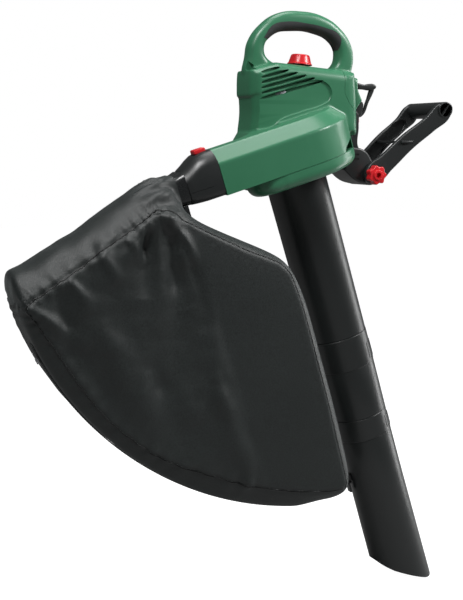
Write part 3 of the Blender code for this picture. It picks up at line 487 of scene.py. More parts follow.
cap = [(0.0910, -0.0880, 0), (0.0960, -0.0895), (0.1035, -0.0980), (0.1050, -0.1100), (0.1130, -0.1285, 0),
       (0.1000, -0.1465, 0), (0.0910, -0.1475, 0)]
front_cap = fuse(plate([cap], -0.022, 0.022, 0.0045),
                 rod(0.0072, (0.0985, -0.0120, -0.0975), (0.1045, -0.0120, -0.0990), rounding=0.002),
                 rod(0.0072, (0.0985, 0.0120, -0.0975), (0.1045, 0.0120, -0.0990), rounding=0.002))
piece("front_cap", front_cap, GREEN, nodes=["front_cover"])

# The grip pad is soft black rubber moulded over the inner side of the loop, where the fingers close. Its
# surface has a fine dimpled grain.


def rubber(name, colour):
    material, flow, shader = new_finish(name)
    place = flow.node("ShaderNodeTexCoord", output=3)
    cells = flow.node("ShaderNodeTexVoronoi", None, {"Vector": place, "Scale": 780.0})
    cloudy = noise_at(flow, place, 30.0)
    feed(shader, Base_Color=blended(flow, cloudy, colour, tuple(c * 1.35 for c in colour)))
    feed(shader, Roughness=cells * 0.15 + 0.62)
    feed(shader, Normal=flow.node("ShaderNodeBump", None, {"Strength": 0.7, "Distance": 0.0002,
                                                           "Height": cells}))
    return material


RUBBER = rubber("grip_rubber", (0.022, 0.024, 0.025))
PAD = [(-0.0660, -0.0300, 0), (-0.0510, -0.0100), (-0.0280, -0.0035), (0.0150, -0.0055), (0.0450, -0.0110),
       (0.0670, -0.0190), (0.0735, -0.0280), (0.0710, -0.0460, 0), (0.0600, -0.0460, 0),
       (0.0400, -0.0400, 0), (0.0, -0.0350, 0), (-0.0300, -0.0380, 0)]
swell = handle_skin.modifiers.new("swell", "DISPLACE")
swell.strength, swell.mid_level = 0.00045, 0.0
grip_pad = common(settled(handle_skin), plate([PAD], -0.03, 0.03))
piece("grip_pad", grip_pad, RUBBER, nodes=["soft_grip"])

# Four screws hold the shells together from the left side.


def metal(name, colour, gloss, line_depth=0.00005, scale=600.0):
    """Bare metal: fine drawn lines along one direction and a few darker stains."""
    material, flow, shader = new_finish(name)
    place = flow.node("ShaderNodeTexCoord", output=3)
    stained = noise_at(flow, place, 40.0, 4.0)
    lines = noise_at(flow, flow.node("ShaderNodeMapping", None, {"Vector": place, "Scale": (1.0, 1.0, 14.0)}),
                     scale, 2.0)
    feed(shader, Base_Color=blended(flow, stained, tuple(c * 0.72 for c in colour), colour))
    feed(shader, Roughness=lines * 0.22 + stained * 0.12 + (gloss - 0.15))
    feed(shader, Normal=flow.node("ShaderNodeBump", None,
                                  {"Strength": 0.3, "Distance": line_depth, "Height": lines}))
    shader.inputs["Metallic"].default_value = 1.0
    return material


STEEL = metal("zinc_plated_steel", (0.55, 0.56, 0.58), 0.36)
for number, (x, z) in enumerate([(-0.082, -0.101), (-0.084, -0.164), (0.080, -0.108), (0.082, -0.140)], 1):
    screw = fuse(rod(0.0017, (x, -0.015, z), (x, 0.0370, z), sides=20),
                 rod(0.0036, (x, 0.0363, z), (x, 0.0390, z), sides=32, rounding=0.0006))
    carve(screw, *[rod(0.0005, (x + 0.0030 * math.cos(a), 0.0378, z + 0.0030 * math.sin(a)),
                       (x - 0.0030 * math.cos(a), 0.0400, z - 0.0030 * math.sin(a)), sides=8)
                   for a in (0.0, math.pi / 2)])
    piece(f"shell_screw_{number}", screw, STEEL, nodes=[f"housing_screw_{number}"])

# The speed dial is a red lobed knob on the housing's shoulder, in easy reach of the thumb.

RED = moulded("red_plastic_finish", (0.62, 0.016, 0.022), 0.30, 900.0, 0.00003, 0.08)
DIAL = Matrix.Translation((0.0052, 0.0, -0.0715)) @ Matrix.Rotation(math.radians(5.0), 4, "Y")


def turned(profile, seat=None, steps=96, closed=True):
    """A profile of (radius, z) points spun about Z."""
    shape = bmesh.new()
    points = [shape.verts.new((r, 0.0, z)) for r, z in profile]
    pairs = list(zip(points, points[1:])) + ([(points[-1], points[0])] if closed else [])
    edges = [shape.edges.new(pair) for pair in pairs]
    bmesh.ops.spin(shape, geom=points + edges, cent=(0, 0, 0), axis=(0, 0, 1), angle=2 * math.pi, steps=steps,
                   use_merge=True)
    bmesh.ops.remove_doubles(shape, verts=shape.verts, dist=0.000005)
    bmesh.ops.recalc_face_normals(shape, faces=shape.faces)
    return thing(shape, seat)


dial = turned([(0.0, 0.0166), (0.0098, 0.0166), (0.0105, 0.0170), (0.0132, 0.0170), (0.0146, 0.0163),
               (0.0156, 0.0150), (0.0168, 0.0110), (0.0190, 0.0035), (0.0205, 0.0022), (0.0208, 0.0008),
               (0.0204, 0.0003), (0.0, 0.0003)], DIAL, closed=False)
scallops = []
for number in range(8):
    angle = math.radians(45 * number + 12)
    x, y = math.cos(angle), math.sin(angle)
    scallops.append(rod(0.0052, (0.0250 * x, 0.0250 * y, 0.0032), (0.0192 * x, 0.0192 * y, 0.0185), DIAL, 32,
                        0.0008))
carve(dial, *scallops, block((0.0045, -0.0006, 0.0163), (0.0125, 0.0006, 0.0180), 0.0, DIAL))
piece("speed_dial_knob", dial, RED, "speed_dial", ["speed_dial"])

# The cord hook is a black loop on the nose: an arm with a strut down to the cap.

BLACK = moulded("black_nylon", (0.0150, 0.0170, 0.0172), 0.36, 1000.0, 0.00006, 0.15)
arm = ribbon([(0.1040, -0.1030), (0.1250, -0.1055), (0.1425, -0.1050)], [0.0034, 0.0040, 0.0045])
strut = ribbon([(0.1425, -0.1060), (0.1320, -0.1310), (0.1225, -0.1510), (0.1150, -0.1545)],
               [0.0026, 0.0022, 0.0022, 0.0022])
hook = fuse(plate([arm], -0.007, 0.007, 0.0022), plate([strut], -0.0035, 0.0035, 0.0012))
piece("cord_loop", hook, BLACK, nodes=["cord_hook"])

# The front bracket is black nylon: a panel with the tube latch in it, and a round lug for the second handle.
# The latch is a red push key on a spring.

PIVOT = (0.124, -0.253)
panel = [(0.0975, -0.1500, 0), (0.1040, -0.1470), (0.1090, -0.1700), (0.1070, -0.2000), (0.1100, -0.2150),
         (0.1000, -0.2250, 0), (0.0900, -0.1900, 0), (0.0800, -0.1880, 0), (0.0975, -0.1874, 0)]
lug = [(0.0860, -0.2060, 0), (0.1130, -0.2120)] + arc(PIVOT, 0.0175, 60, -110, 9)
lug += [(0.0970, -0.2630), (0.0740, -0.2440, 0)]
chin = [(0.0990, -0.1490, 0), (0.1133, -0.1298, 0), (0.1165, -0.1325), (0.1158, -0.1450),
        (0.1130, -0.1560, 0), (0.0990, -0.1560, 0)]
bracket = fuse(plate([panel], -0.017, 0.017, 0.0016), plate([lug], -0.033, 0.033, 0.0035),
               plate([chin], -0.0165, 0.0165, 0.0012))
tube_room = rod(0.0530, (0, 0, -0.14), (0, 0, -0.0373), FAN, 96)
key_room = block((0.0930, -0.0066, -0.1840), (0.130, 0.0066, -0.1540), 0.001)
slits = [block((0.093, -0.040, z), (0.1015, -0.0315, z + 0.0016), 0.0, None) for z in (-0.2195, -0.2270)]
carve(bracket, tube_room, key_room, *slits, rod(0.0043, (PIVOT[0], -0.06, PIVOT[1]),
                                                (PIVOT[0], 0.06, PIVOT[1])),
      rod(0.0885, (0, 0, -0.0368), (0, 0, 0.080), FAN, 128))
piece("latch_bracket", bracket, BLACK, nodes=["front_bracket"])

key = fuse(plate([[(0.1030, -0.1560, 0), (0.1115, -0.1560), (0.1150, -0.1600), (0.1130, -0.1720),
                   (0.1100, -0.1815), (0.1030, -0.1820, 0)]], -0.0060, 0.0060, 0.0014),
           *[rod(0.0006, (x, -0.0045, z), (x, 0.0045, z), sides=12)
             for x, z in ((0.1150, -0.1600), (0.1145, -0.1630), (0.1140, -0.1660), (0.1135, -0.1690))])
piece("latch_key", key, RED, "tube_latch", ["tube_latch"])

# The second handle swings on the bracket's lug: two flat arms, a thin cross web and a hollow grip with a rib
# across its bore, all one black moulding. A steel bolt with a red lobed knob clamps it.

SWING = Matrix.Translation((PIVOT[0], 0.0, PIVOT[1]))
reach_x, reach_z = 0.129, 0.109
grip = rod(0.0137, (reach_x, -0.058, reach_z), (reach_x, 0.058, reach_z), SWING, 96, 0.0012)
arm_path = [(0.0, 0.0), (0.026, 0.021), (0.064, 0.056), (0.101, 0.084), (reach_x, reach_z)]
arm_widths = [0.0165, 0.0152, 0.0142, 0.0134, 0.0140]
inner, flat = 0.0338, 0.022
slope = (0.058 - 0.010 - inner) / (reach_x - flat)
for side in (-1, 1):
    side_arm = plate([ribbon(arm_path, arm_widths)], inner, inner + 0.010, 0.0022)
    recess = plate([ribbon([(0.024, 0.0195), (0.064, 0.056), (0.104, 0.0870)], [0.0100, 0.0100, 0.0088])],
                   inner - 0.001, inner + 0.0045, 0.001)
    carve(side_arm, recess)
    shape = bmesh.new()
    shape.from_mesh(side_arm.data)
    bmesh.ops.triangulate(shape, faces=[face for face in shape.faces if len(face.verts) > 4])
    for cut_x in [flat + 0.004 * i for i in range(27)]:
        bmesh.ops.bisect_plane(shape, geom=shape.verts[:] + shape.edges[:] + shape.faces[:],
                               plane_co=(cut_x, 0, 0), plane_no=(1, 0, 0))
    for vertex in shape.verts:
        past = max(vertex.co.x - flat, 0.0)
        eased = past * past / (past + 0.012) if past else 0.0
        vertex.co.y = side * (vertex.co.y + slope * (eased + 0.010 * min(past / 0.09, 1.0)))
    bmesh.ops.recalc_face_normals(shape, faces=shape.faces)
    bmesh.ops.transform(shape, matrix=SWING, verts=shape.verts)
    shape.to_mesh(side_arm.data)
    shape.free()
    fuse(grip, side_arm)
fuse(grip, block((0.049, -0.0505, 0.0528), (0.071, 0.0505, 0.0572), 0.0010, SWING))
for side in (-1, 1):
    bore = rod(0.0114, (reach_x, side * 0.012, reach_z), (reach_x, side * 0.060, reach_z), SWING, 96)
    carve(bore, block((reach_x - 0.0008, -0.070, reach_z - 0.02), (reach_x + 0.0008, 0.070, reach_z + 0.02),
                      0.0, SWING @ Matrix.Translation((reach_x, 0, reach_z)) @ Matrix.Rotation(0.6, 4, "Y")
                      @ Matrix.Translation((-reach_x, 0, -reach_z))))
    carve(grip, bore)
carve(grip, rod(0.0043, (0, -0.06, 0), (0, 0.06, 0), SWING))
piece("second_handle_frame", grip, BLACK, "second_handle", ["second_handle"])

near = -(0.033 + 0.0008 + 0.010 + 0.0003)
rim = []
for i in range(84):
    angle = 2 * math.pi * i / 84
    radius = 0.0150 + 0.0014 * math.cos(7 * angle)
    rim.append((radius * math.cos(angle), radius * math.sin(angle), 0))
knob = fuse(plate([rim], near - 0.0150, near, 0.0016, seat=SWING, steps=1),
            rod(0.0085, (0, near - 0.0100, 0), (0, near - 0.0175, 0), SWING, 64, 0.0008))
carve(knob, rod(0.0050, (0, near - 0.0200, 0), (0, near - 0.0110, 0), SWING, 6),
      rod(0.0043, (0, near - 0.0080, 0), (0, near + 0.001, 0), SWING))
piece("clamp_knob_head", knob, RED, "clamp_knob", ["clamp_knob"])
nut = rod(0.0085, (0, -near, 0), (0, -near + 0.0065, 0), SWING, 6, 0.0005)
carve(nut, rod(0.0043, (0, -near - 0.001, 0), (0, -near + 0.0075, 0), SWING))
piece("clamp_bolt_nut", nut, STEEL, "second_handle", ["clamp_nut"])

# The suction tube is three lengths of black polypropylene with a coarse satin grain. Each socket is a hair
# wider than the tube above it, with square snap windows pressed into the joint, and the nozzle's mouth is cut
# aslant.


def tube_plastic(name, colour):
    """Satin polypropylene: a visible spark grain with fine specks and a faintly cloudy tone."""
    material, flow, shader = new_finish(name)
    place = flow.node("ShaderNodeTexCoord", output=3)
    grain = noise_at(flow, place, 620.0, 3.0, 0.6)
    speck = noise_at(flow, place, 1500.0, 1.0)
    cloudy = noise_at(flow, place, 9.0, 4.0)
    feed(shader, Base_Color=blended(flow, grain * 0.6 + cloudy * 0.4, tuple(c * 0.8 for c in colour),
                                    tuple(c * 1.35 for c in colour)))
    feed(shader, Roughness=grain * 0.14 + cloudy * 0.10 + 0.24)
    feed(shader, Normal=flow.node("ShaderNodeBump", None, {"Strength": 0.60, "Distance": 0.00022,
                                                           "Height": grain * 0.7 + speck * 0.3}))
    return material


TUBE = tube_plastic("tube_polypropylene", (0.0125, 0.0145, 0.0145))
wall, gap, band = 0.0022, 0.0003, 0.0006
top, joint, nozzle = 0.0510, 0.0495, 0.0480
JOINTS = {"first": -0.321, "first_end": -0.377, "second": -0.468, "second_end": -0.507}
spigot_1, spigot_2 = joint - wall - gap, nozzle - wall - gap
upper = turned([(top - 0.0004, -0.0373), (top, -0.0380), (joint + 0.0001, JOINTS["first"] + gap + 0.0006),
                (joint - 0.0005, JOINTS["first"] + gap), (spigot_1, JOINTS["first"] + gap),
                (spigot_1, JOINTS["first_end"] + 0.004), (spigot_1 - wall, JOINTS["first_end"] + 0.004),
                (spigot_1 - wall, JOINTS["first"] + 0.010), (top - wall - 0.0008, JOINTS["first"] + 0.030),
                (top - wall, -0.0373)], FAN, 128)
piece("suction_tube_upper", upper, TUBE, nodes=["upper_tube"])


def snap_window(z_low, z_high, radius, turn):
    """A raised square rib on a joint band, for the snap behind it."""
    seat = FAN @ Matrix.Rotation(math.radians(turn), 4, "Z")
    frame_rib = plate([[(-0.013, z_low, 0), (0.013, z_low, 0), (0.013, z_high, 0), (-0.013, z_high, 0)],
                       [(-0.0118, z_low + 0.0012, 0), (0.0118, z_low + 0.0012, 0),
                        (0.0118, z_high - 0.0012, 0), (-0.0118, z_high - 0.0012, 0)]],
                      -radius - 0.02, 0.0, steps=1)
    shape = bmesh.new()
    shape.from_mesh(frame_rib.data)
    bmesh.ops.transform(shape, matrix=seat, verts=shape.verts)
    shape.to_mesh(frame_rib.data)
    shape.free()
    shell = carve(rod(radius + 0.0007, (0, 0, z_low - 0.01), (0, 0, z_high + 0.01), FAN, 128),
                  rod(radius - 0.0004, (0, 0, z_low - 0.02), (0, 0, z_high + 0.02), FAN, 128))
    return common(frame_rib, shell)


middle = turned([(joint + band - 0.0004, JOINTS["first"] - gap),
                 (joint + band, JOINTS["first"] - gap - 0.0006),
                 (joint + band, JOINTS["first_end"] + 0.0006), (joint, JOINTS["first_end"]),
                 (joint - 0.0004, JOINTS["first_end"] - 0.0010), (joint, JOINTS["first_end"] - 0.0020),
                 (nozzle + band, JOINTS["second"] + gap + 0.0006),
                 (nozzle + band - 0.0005, JOINTS["second"] + gap),
                 (spigot_2, JOINTS["second"] + gap), (spigot_2, JOINTS["second_end"] + 0.004),
                 (spigot_2 - wall, JOINTS["second_end"] + 0.004), (spigot_2 - wall, JOINTS["second"] + 0.012),
                 (spigot_1 - wall, JOINTS["first_end"] - 0.006),
                 (spigot_1 - wall, JOINTS["first_end"] + 0.003),
                 (joint - wall, JOINTS["first_end"] + 0.0032), (joint - wall, JOINTS["first"] - gap)], FAN,
                 128)
for turn in (52.0, -128.0):
    fuse(middle, snap_window(-0.371, -0.343, joint + band, turn))
piece("suction_tube_middle", middle, TUBE, nodes=["middle_tube"])

mouth = nozzle + 0.002
tip = turned([(nozzle + band - 0.0004, JOINTS["second"] - gap),
              (nozzle + band, JOINTS["second"] - gap - 0.0006),
              (nozzle + band, JOINTS["second_end"] + 0.0006), (nozzle, JOINTS["second_end"]),
              (nozzle - 0.0004, JOINTS["second_end"] - 0.0010), (nozzle, JOINTS["second_end"] - 0.0020),
              (nozzle, -0.60), (mouth, -0.86), (mouth - wall, -0.86), (nozzle - wall, -0.60),
              (spigot_2 - wall, JOINTS["second_end"] - 0.006),
              (spigot_2 - wall, JOINTS["second_end"] + 0.003),
              (nozzle - wall, JOINTS["second_end"] + 0.0032), (nozzle - wall, JOINTS["second"] - gap)], FAN,
              128)


def on_slope(x):
    return (x, -0.747 - (x + 0.048) * math.tan(math.radians(34.0)), 0)


slant = [(-0.0750, -0.7080, 0), (-0.0530, -0.7330), (-0.0420, -0.7475), on_slope(-0.030), on_slope(0.016),
         (0.0300, -0.7985), (0.0420, -0.8010), (0.0510, -0.7920), (0.0570, -0.7780, 0), (0.0800, -0.7700, 0),
         (0.0800, -0.9000, 0), (-0.0750, -0.9000, 0)]
carve(tip, plate([slant], -0.1, 0.1, seat=FAN))
for turn in (52.0, -128.0):
    fuse(tip, snap_window(-0.501, -0.480, nozzle + band, turn))
piece("suction_nozzle", tip, TUBE, nodes=["nozzle_tube"])

# The duct's black connector has a red release button on its sloping top, and a glossier neck ring that the
# bag's cuff is clamped round. A parting line runs along the connector's side.

GLOSS = moulded("black_gloss_nylon", (0.0130, 0.0145, 0.0150), 0.27, 900.0, 0.00003, 0.12)
AXIS_Y = -0.0765


UPPER_CORNER = 1.7  # how many times bigger a flattened body's upper corners are


def loft(sections, seat=None, corner_steps=6, flat=0.0):
    """A closed body through rounded rectangles across X: (x, half width, low z, high z, corner radius).

    With flat above 0 the upper corners are bigger, and that share of the way to a flat chamfer.
    """
    shape = bmesh.new()
    loops = []
    for x, half_y, low, high, corner in sections:
        middle_z, half_z = (low + high) / 2, (high - low) / 2
        points = []
        for quarter, (sy, sz) in enumerate(((1, 1), (-1, 1), (-1, -1), (1, -1))):
            size = corner * UPPER_CORNER if sz > 0 and flat else corner
            centre = Vector((AXIS_Y + sy * (half_y - size), middle_z + sz * (half_z - size)))
            for point in arc(centre, size, 90 * quarter, 90 * quarter + 90, corner_steps):
                away = Vector(point) - centre
                chord = away * (size / (abs(away.x) + abs(away.y)))
                points.append(centre + (away.lerp(chord, flat) if sz > 0 else away))
        verts = [shape.verts.new((x, y, z)) for y, z in points]
        loops.append([shape.edges.new(pair) for pair in zip(verts, verts[1:] + verts[:1])])
    for first, second in zip(loops, loops[1:]):
        bmesh.ops.bridge_loops(shape, edges=first + second)
    bmesh.ops.holes_fill(shape, edges=loops[0] + loops[-1], sides=0)
    bmesh.ops.recalc_face_normals(shape, faces=shape.faces)
    return thing(shape, seat)


connector = loft([(-0.1653, 0.0335, -0.011, 0.0605, 0.011), (-0.1660, 0.0345, -0.012, 0.0620, 0.012),
                  (-0.1800, 0.0342, -0.012, 0.0616, 0.012), (-0.1930, 0.0335, -0.012, 0.0592, 0.012),
                  (-0.2030, 0.0326, -0.0115, 0.0545, 0.012), (-0.2130, 0.0316, -0.0108, 0.0485, 0.012),
                  (-0.2208, 0.0306, -0.0100, 0.0446, 0.012), (-0.2218, 0.0298, -0.0092, 0.0436, 0.011)], FAN,
                 flat=0.45)
carve(connector, loft([(-0.1600, 0.0305, -0.009, 0.0520, 0.012), (-0.193, 0.0290, -0.009, 0.0480, 0.012),
                       (-0.2150, 0.0270, -0.0075, 0.0390, 0.012), (-0.227, 0.0262, -0.007, 0.0360, 0.011)],
                       FAN, flat=0.45),
      block((-0.1906, AXIS_Y - 0.0096, 0.0560), (-0.1699, AXIS_Y + 0.0096, 0.0700), 0.0, FAN))
outside = loft([(-0.150, 0.0348, -0.0123, 0.0623, 0.012), (-0.193, 0.0338, -0.0123, 0.0603, 0.012),
                (-0.240, 0.0290, -0.0100, 0.0400, 0.012)], FAN, flat=0.45)
inside = loft([(-0.140, 0.0338, -0.0113, 0.0613, 0.011), (-0.193, 0.0328, -0.0113, 0.0593, 0.011),
               (-0.250, 0.0270, -0.0080, 0.0360, 0.011)], FAN, flat=0.45)
seam = common(block((-0.240, -0.2, 0.0080), (-0.150, 0.05, 0.0086), 0.0, FAN), carve(outside, inside))
carve(connector, seam)
piece("duct_connector", connector, BLACK, nodes=["outlet_connector"])

button = block((-0.1900, AXIS_Y - 0.0090, 0.0600), (-0.1705, AXIS_Y + 0.0090, 0.0670), 0.0014, FAN)
fuse(button, *[rod(0.0006, (x, AXIS_Y - 0.007, 0.0669), (x, AXIS_Y + 0.007, 0.0669), FAN, 12)
               for x in (-0.1870, -0.1835, -0.1800)])
piece("bag_release_button", button, RED, "release_button", ["release_button"])

neck = loft([(-0.2223, 0.0296, -0.0092, 0.0427, 0.012), (-0.2228, 0.0300, -0.0095, 0.0430, 0.012),
             (-0.2280, 0.0292, -0.0092, 0.0415, 0.012), (-0.2360, 0.0280, -0.0085, 0.0395, 0.012),
             (-0.2500, 0.0280, -0.0085, 0.0395, 0.012)], FAN)
carve(neck, loft([(-0.217, 0.0260, -0.0060, 0.0395, 0.010), (-0.258, 0.0240, -0.0050, 0.0360, 0.010)], FAN))
fuse(neck, block((-0.2370, -0.1040, -0.0300), (-0.2290, -0.0960, -0.0070), 0.0010, FAN))
piece("bag_clamp_ring", neck, GLOSS, nodes=["bag_neck_ring"])

# The small hook on the tube's rear takes the elastic loop of the bag's lower corner.

root = -(0.0480 + 0.0006)
lug_hook = plate([[(root, -0.5700, 0), (-0.0555, -0.5708), (-0.0565, -0.5740), (-0.0565, -0.6020, 0),
                   (-0.0535, -0.6020, 0), (-0.0535, -0.5800, 0), (root, -0.5800, 0)]], -0.006, 0.006, 0.0006,
                 seat=FAN, steps=4)
piece("tube_bag_hook", lug_hook, BLACK, nodes=["bag_hook"])

# The motor, the fan and the electrics inside keep their CAD shapes. They are bare metal, copper winding,
# carbon and black nylon.

LAMINATED = metal("stamped_laminations", (0.30, 0.31, 0.33), 0.46, 0.00015, 900.0)
COPPER = metal("copper_winding", (0.72, 0.33, 0.17), 0.36, 0.00035, 1200.0)
CARBON = moulded("brush_carbon", (0.030, 0.030, 0.032), 0.58, 1500.0)
inner_finishes = {
    LAMINATED: ["armature", "stator", "impeller", "motor_plate"],
    COPPER: ["commutator", "lower_field_coil", "upper_field_coil"],
    CARBON: ["carbon_brush_left", "carbon_brush_right"],
    STEEL: ["clamp_bolt", "dial_shaft", "fan_nut", "latch_spring", "lower_bearing", "motor_shaft",
            "release_spring", "shredder_blade", "upper_bearing"],
    BLACK: ["interlock_switch", "mains_filter", "speed_control"],
}
for material, names in inner_finishes.items():
    for name in names:
        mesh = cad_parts[name].data
        mesh.materials.clear()
        mesh.materials.append(material)

# The leaf bag is coated polyester cloth: a near and a far panel sewn to a broad gusset, narrow at the neck
# and round at the foot. It hangs from the clamp ring and is looped to the tube at its lower corner.


def bag_cloth(name, colour, sheen=0.12):
    """Plain-woven polyester with a dull coating: crossing threads, a soft sheen, rubbed folds."""
    material, flow, shader = new_finish(name)
    place = flow.node("ShaderNodeTexCoord", output=3)
    warp = flow.node("ShaderNodeTexWave", {"bands_direction": "DIAGONAL"},
                     {"Vector": place, "Scale": 420.0, "Distortion": 0.6, "Detail": 1.0})
    turned_place = flow.node("ShaderNodeMapping", None, {"Vector": place, "Scale": (1.0, 1.0, -1.0)})
    weft = flow.node("ShaderNodeTexWave", {"bands_direction": "DIAGONAL"},
                     {"Vector": turned_place, "Scale": 420.0, "Distortion": 0.6, "Detail": 1.0})
    creased = noise_at(flow, place, 26.0, 4.0, 0.6)
    cloudy = noise_at(flow, place, 6.0, 3.0)
    fleck = flow.node("ShaderNodeValToRGB", {"stops": [(0.34, 0.0), (0.66, 1.0)]},
                      {"Fac": noise_at(flow, place, 430.0, 4.0, 0.7)})
    feed(shader, Base_Color=blended(flow, cloudy * 0.3 + fleck * 0.7, tuple(c * 0.35 for c in colour),
                                    tuple(c * 1.8 for c in colour)))
    feed(shader, Roughness=fleck * 0.14 + cloudy * 0.12 + 0.40)
    weave = flow.node("ShaderNodeBump", None, {"Strength": 0.35, "Distance": 0.0002,
                                               "Height": warp * 0.5 + weft * 0.5 + fleck * 0.4})
    crease = flow.node("ShaderNodeBump", None, {"Strength": 0.5, "Distance": 0.0012, "Height": creased,
                                                "Normal": weave})
    feed(shader, Normal=crease)
    shader.inputs["Sheen Weight"].default_value = sheen
    shader.inputs["Sheen Roughness"].default_value = 0.4
    shader.inputs["Sheen Tint"].default_value = (0.75, 0.82, 0.82, 1.0)
    return material


CLOTH = bag_cloth("bag_polyester", (0.0095, 0.0128, 0.0124))
# One row runs round the bag from the neck's top, down the long back, along the foot and up beside the tube.
# Each entry is (near seam x, z, waist x, z).
rows = [(-0.289, -0.297, -0.262, -0.2485), (-0.312, -0.312, -0.292, -0.2590),
        (-0.345, -0.334, -0.328, -0.2790), (-0.393, -0.366, -0.378, -0.3135),
        (-0.440, -0.397, -0.436, -0.3530), (-0.480, -0.423, -0.490, -0.3830),
        (-0.4930, -0.4330, -0.5080, -0.3850), (-0.4950, -0.4400, -0.5070, -0.4060),
        (-0.476, -0.466, -0.4960, -0.4600), (-0.448, -0.508, -0.4770, -0.5060),
        (-0.414, -0.561, -0.4440, -0.5580), (-0.372, -0.615, -0.3930, -0.6200),
        (-0.325, -0.657, -0.3340, -0.6710), (-0.269, -0.691, -0.2690, -0.7170),
        (-0.187, -0.724, -0.1880, -0.7560), (-0.100, -0.750, -0.1000, -0.7800),
        (-0.025, -0.762, -0.0200, -0.7890), (0.024, -0.764, 0.0360, -0.7850),
        (0.0340, -0.752, 0.0560, -0.7620), (0.0200, -0.700, 0.0400, -0.6950),
        (-0.003, -0.611, 0.0160, -0.6060), (-0.025, -0.535, -0.0080, -0.5300),
        (-0.050, -0.450, -0.0300, -0.4500), (-0.070, -0.400, -0.0600, -0.3900),
        (-0.090, -0.381, -0.0880, -0.3720), (-0.143, -0.362, -0.1420, -0.3500),
        (-0.197, -0.337, -0.1950, -0.3280), (-0.245, -0.314, -0.2400, -0.3060)]
NEAR_Y, MID_Y, FAR_Y = -0.141, -0.081, -0.021
hub = Vector((sum(r[0] for r in rows) / len(rows), sum(r[1] for r in rows) / len(rows)))


def bag_ring(shape, y, share, scale=1.0):
    """One loop of the bag at a depth, between its seam (0) and its waist (1), shrunk towards its middle."""
    verts = []
    for sx, sz, wx, wz in rows:
        point = Vector((sx, sz)).lerp(Vector((wx, wz)), share)
        point = hub.lerp(point, scale)
        verts.append(shape.verts.new((point.x, y, point.y)))
    return [shape.edges.new(pair) for pair in zip(verts, verts[1:] + verts[:1])]


shape = bmesh.new()
rings = [bag_ring(shape, NEAR_Y - 0.0035, 0.0, 0.30), bag_ring(shape, NEAR_Y - 0.0040, 0.0, 0.62),
         bag_ring(shape, NEAR_Y - 0.0030, 0.0, 0.88), bag_ring(shape, NEAR_Y - 0.0010, 0.0, 0.985),
         bag_ring(shape, NEAR_Y - 0.0006, 0.0, 1.004), bag_ring(shape, NEAR_Y + 0.0030, 0.06),
         bag_ring(shape, NEAR_Y + 0.0220, 0.80), bag_ring(shape, MID_Y - 0.016, 1.03),
         bag_ring(shape, MID_Y + 0.016, 1.03), bag_ring(shape, FAR_Y - 0.0220, 0.80),
         bag_ring(shape, FAR_Y - 0.0030, 0.06), bag_ring(shape, FAR_Y + 0.0006, 0.0, 1.004),
         bag_ring(shape, FAR_Y + 0.0010, 0.0, 0.985), bag_ring(shape, FAR_Y + 0.0030, 0.0, 0.62),
         bag_ring(shape, FAR_Y + 0.0030, 0.0, 0.30)]
for first, second in zip(rings, rings[1:]):
    bmesh.ops.bridge_loops(shape, edges=first + second)
bmesh.ops.holes_fill(shape, edges=rings[0] + rings[-1], sides=0)
caps = [face for face in shape.faces if len(face.verts) > 4]
for _ in range(2):
    bmesh.ops.inset_region(shape, faces=caps, thickness=0.030, use_even_offset=False)
bmesh.ops.poke(shape, faces=caps)
bmesh.ops.recalc_face_normals(shape, faces=shape.faces)
body = thing(shape)
finer = body.modifiers.new("finer", "SUBSURF")
finer.levels = finer.render_levels = 3
CUFF_X = -0.2388
cuff = loft([(CUFF_X + 0.010, 0.0306, -0.0112, 0.0422, 0.014), (-0.2520, 0.0310, -0.0116, 0.0424, 0.014),
             (-0.2700, 0.0400, -0.0200, 0.0370, 0.016), (-0.2950, 0.0480, -0.0320, 0.0240, 0.018)], FAN)
bag = melted([settled(body), cuff], 0.0036, 3)

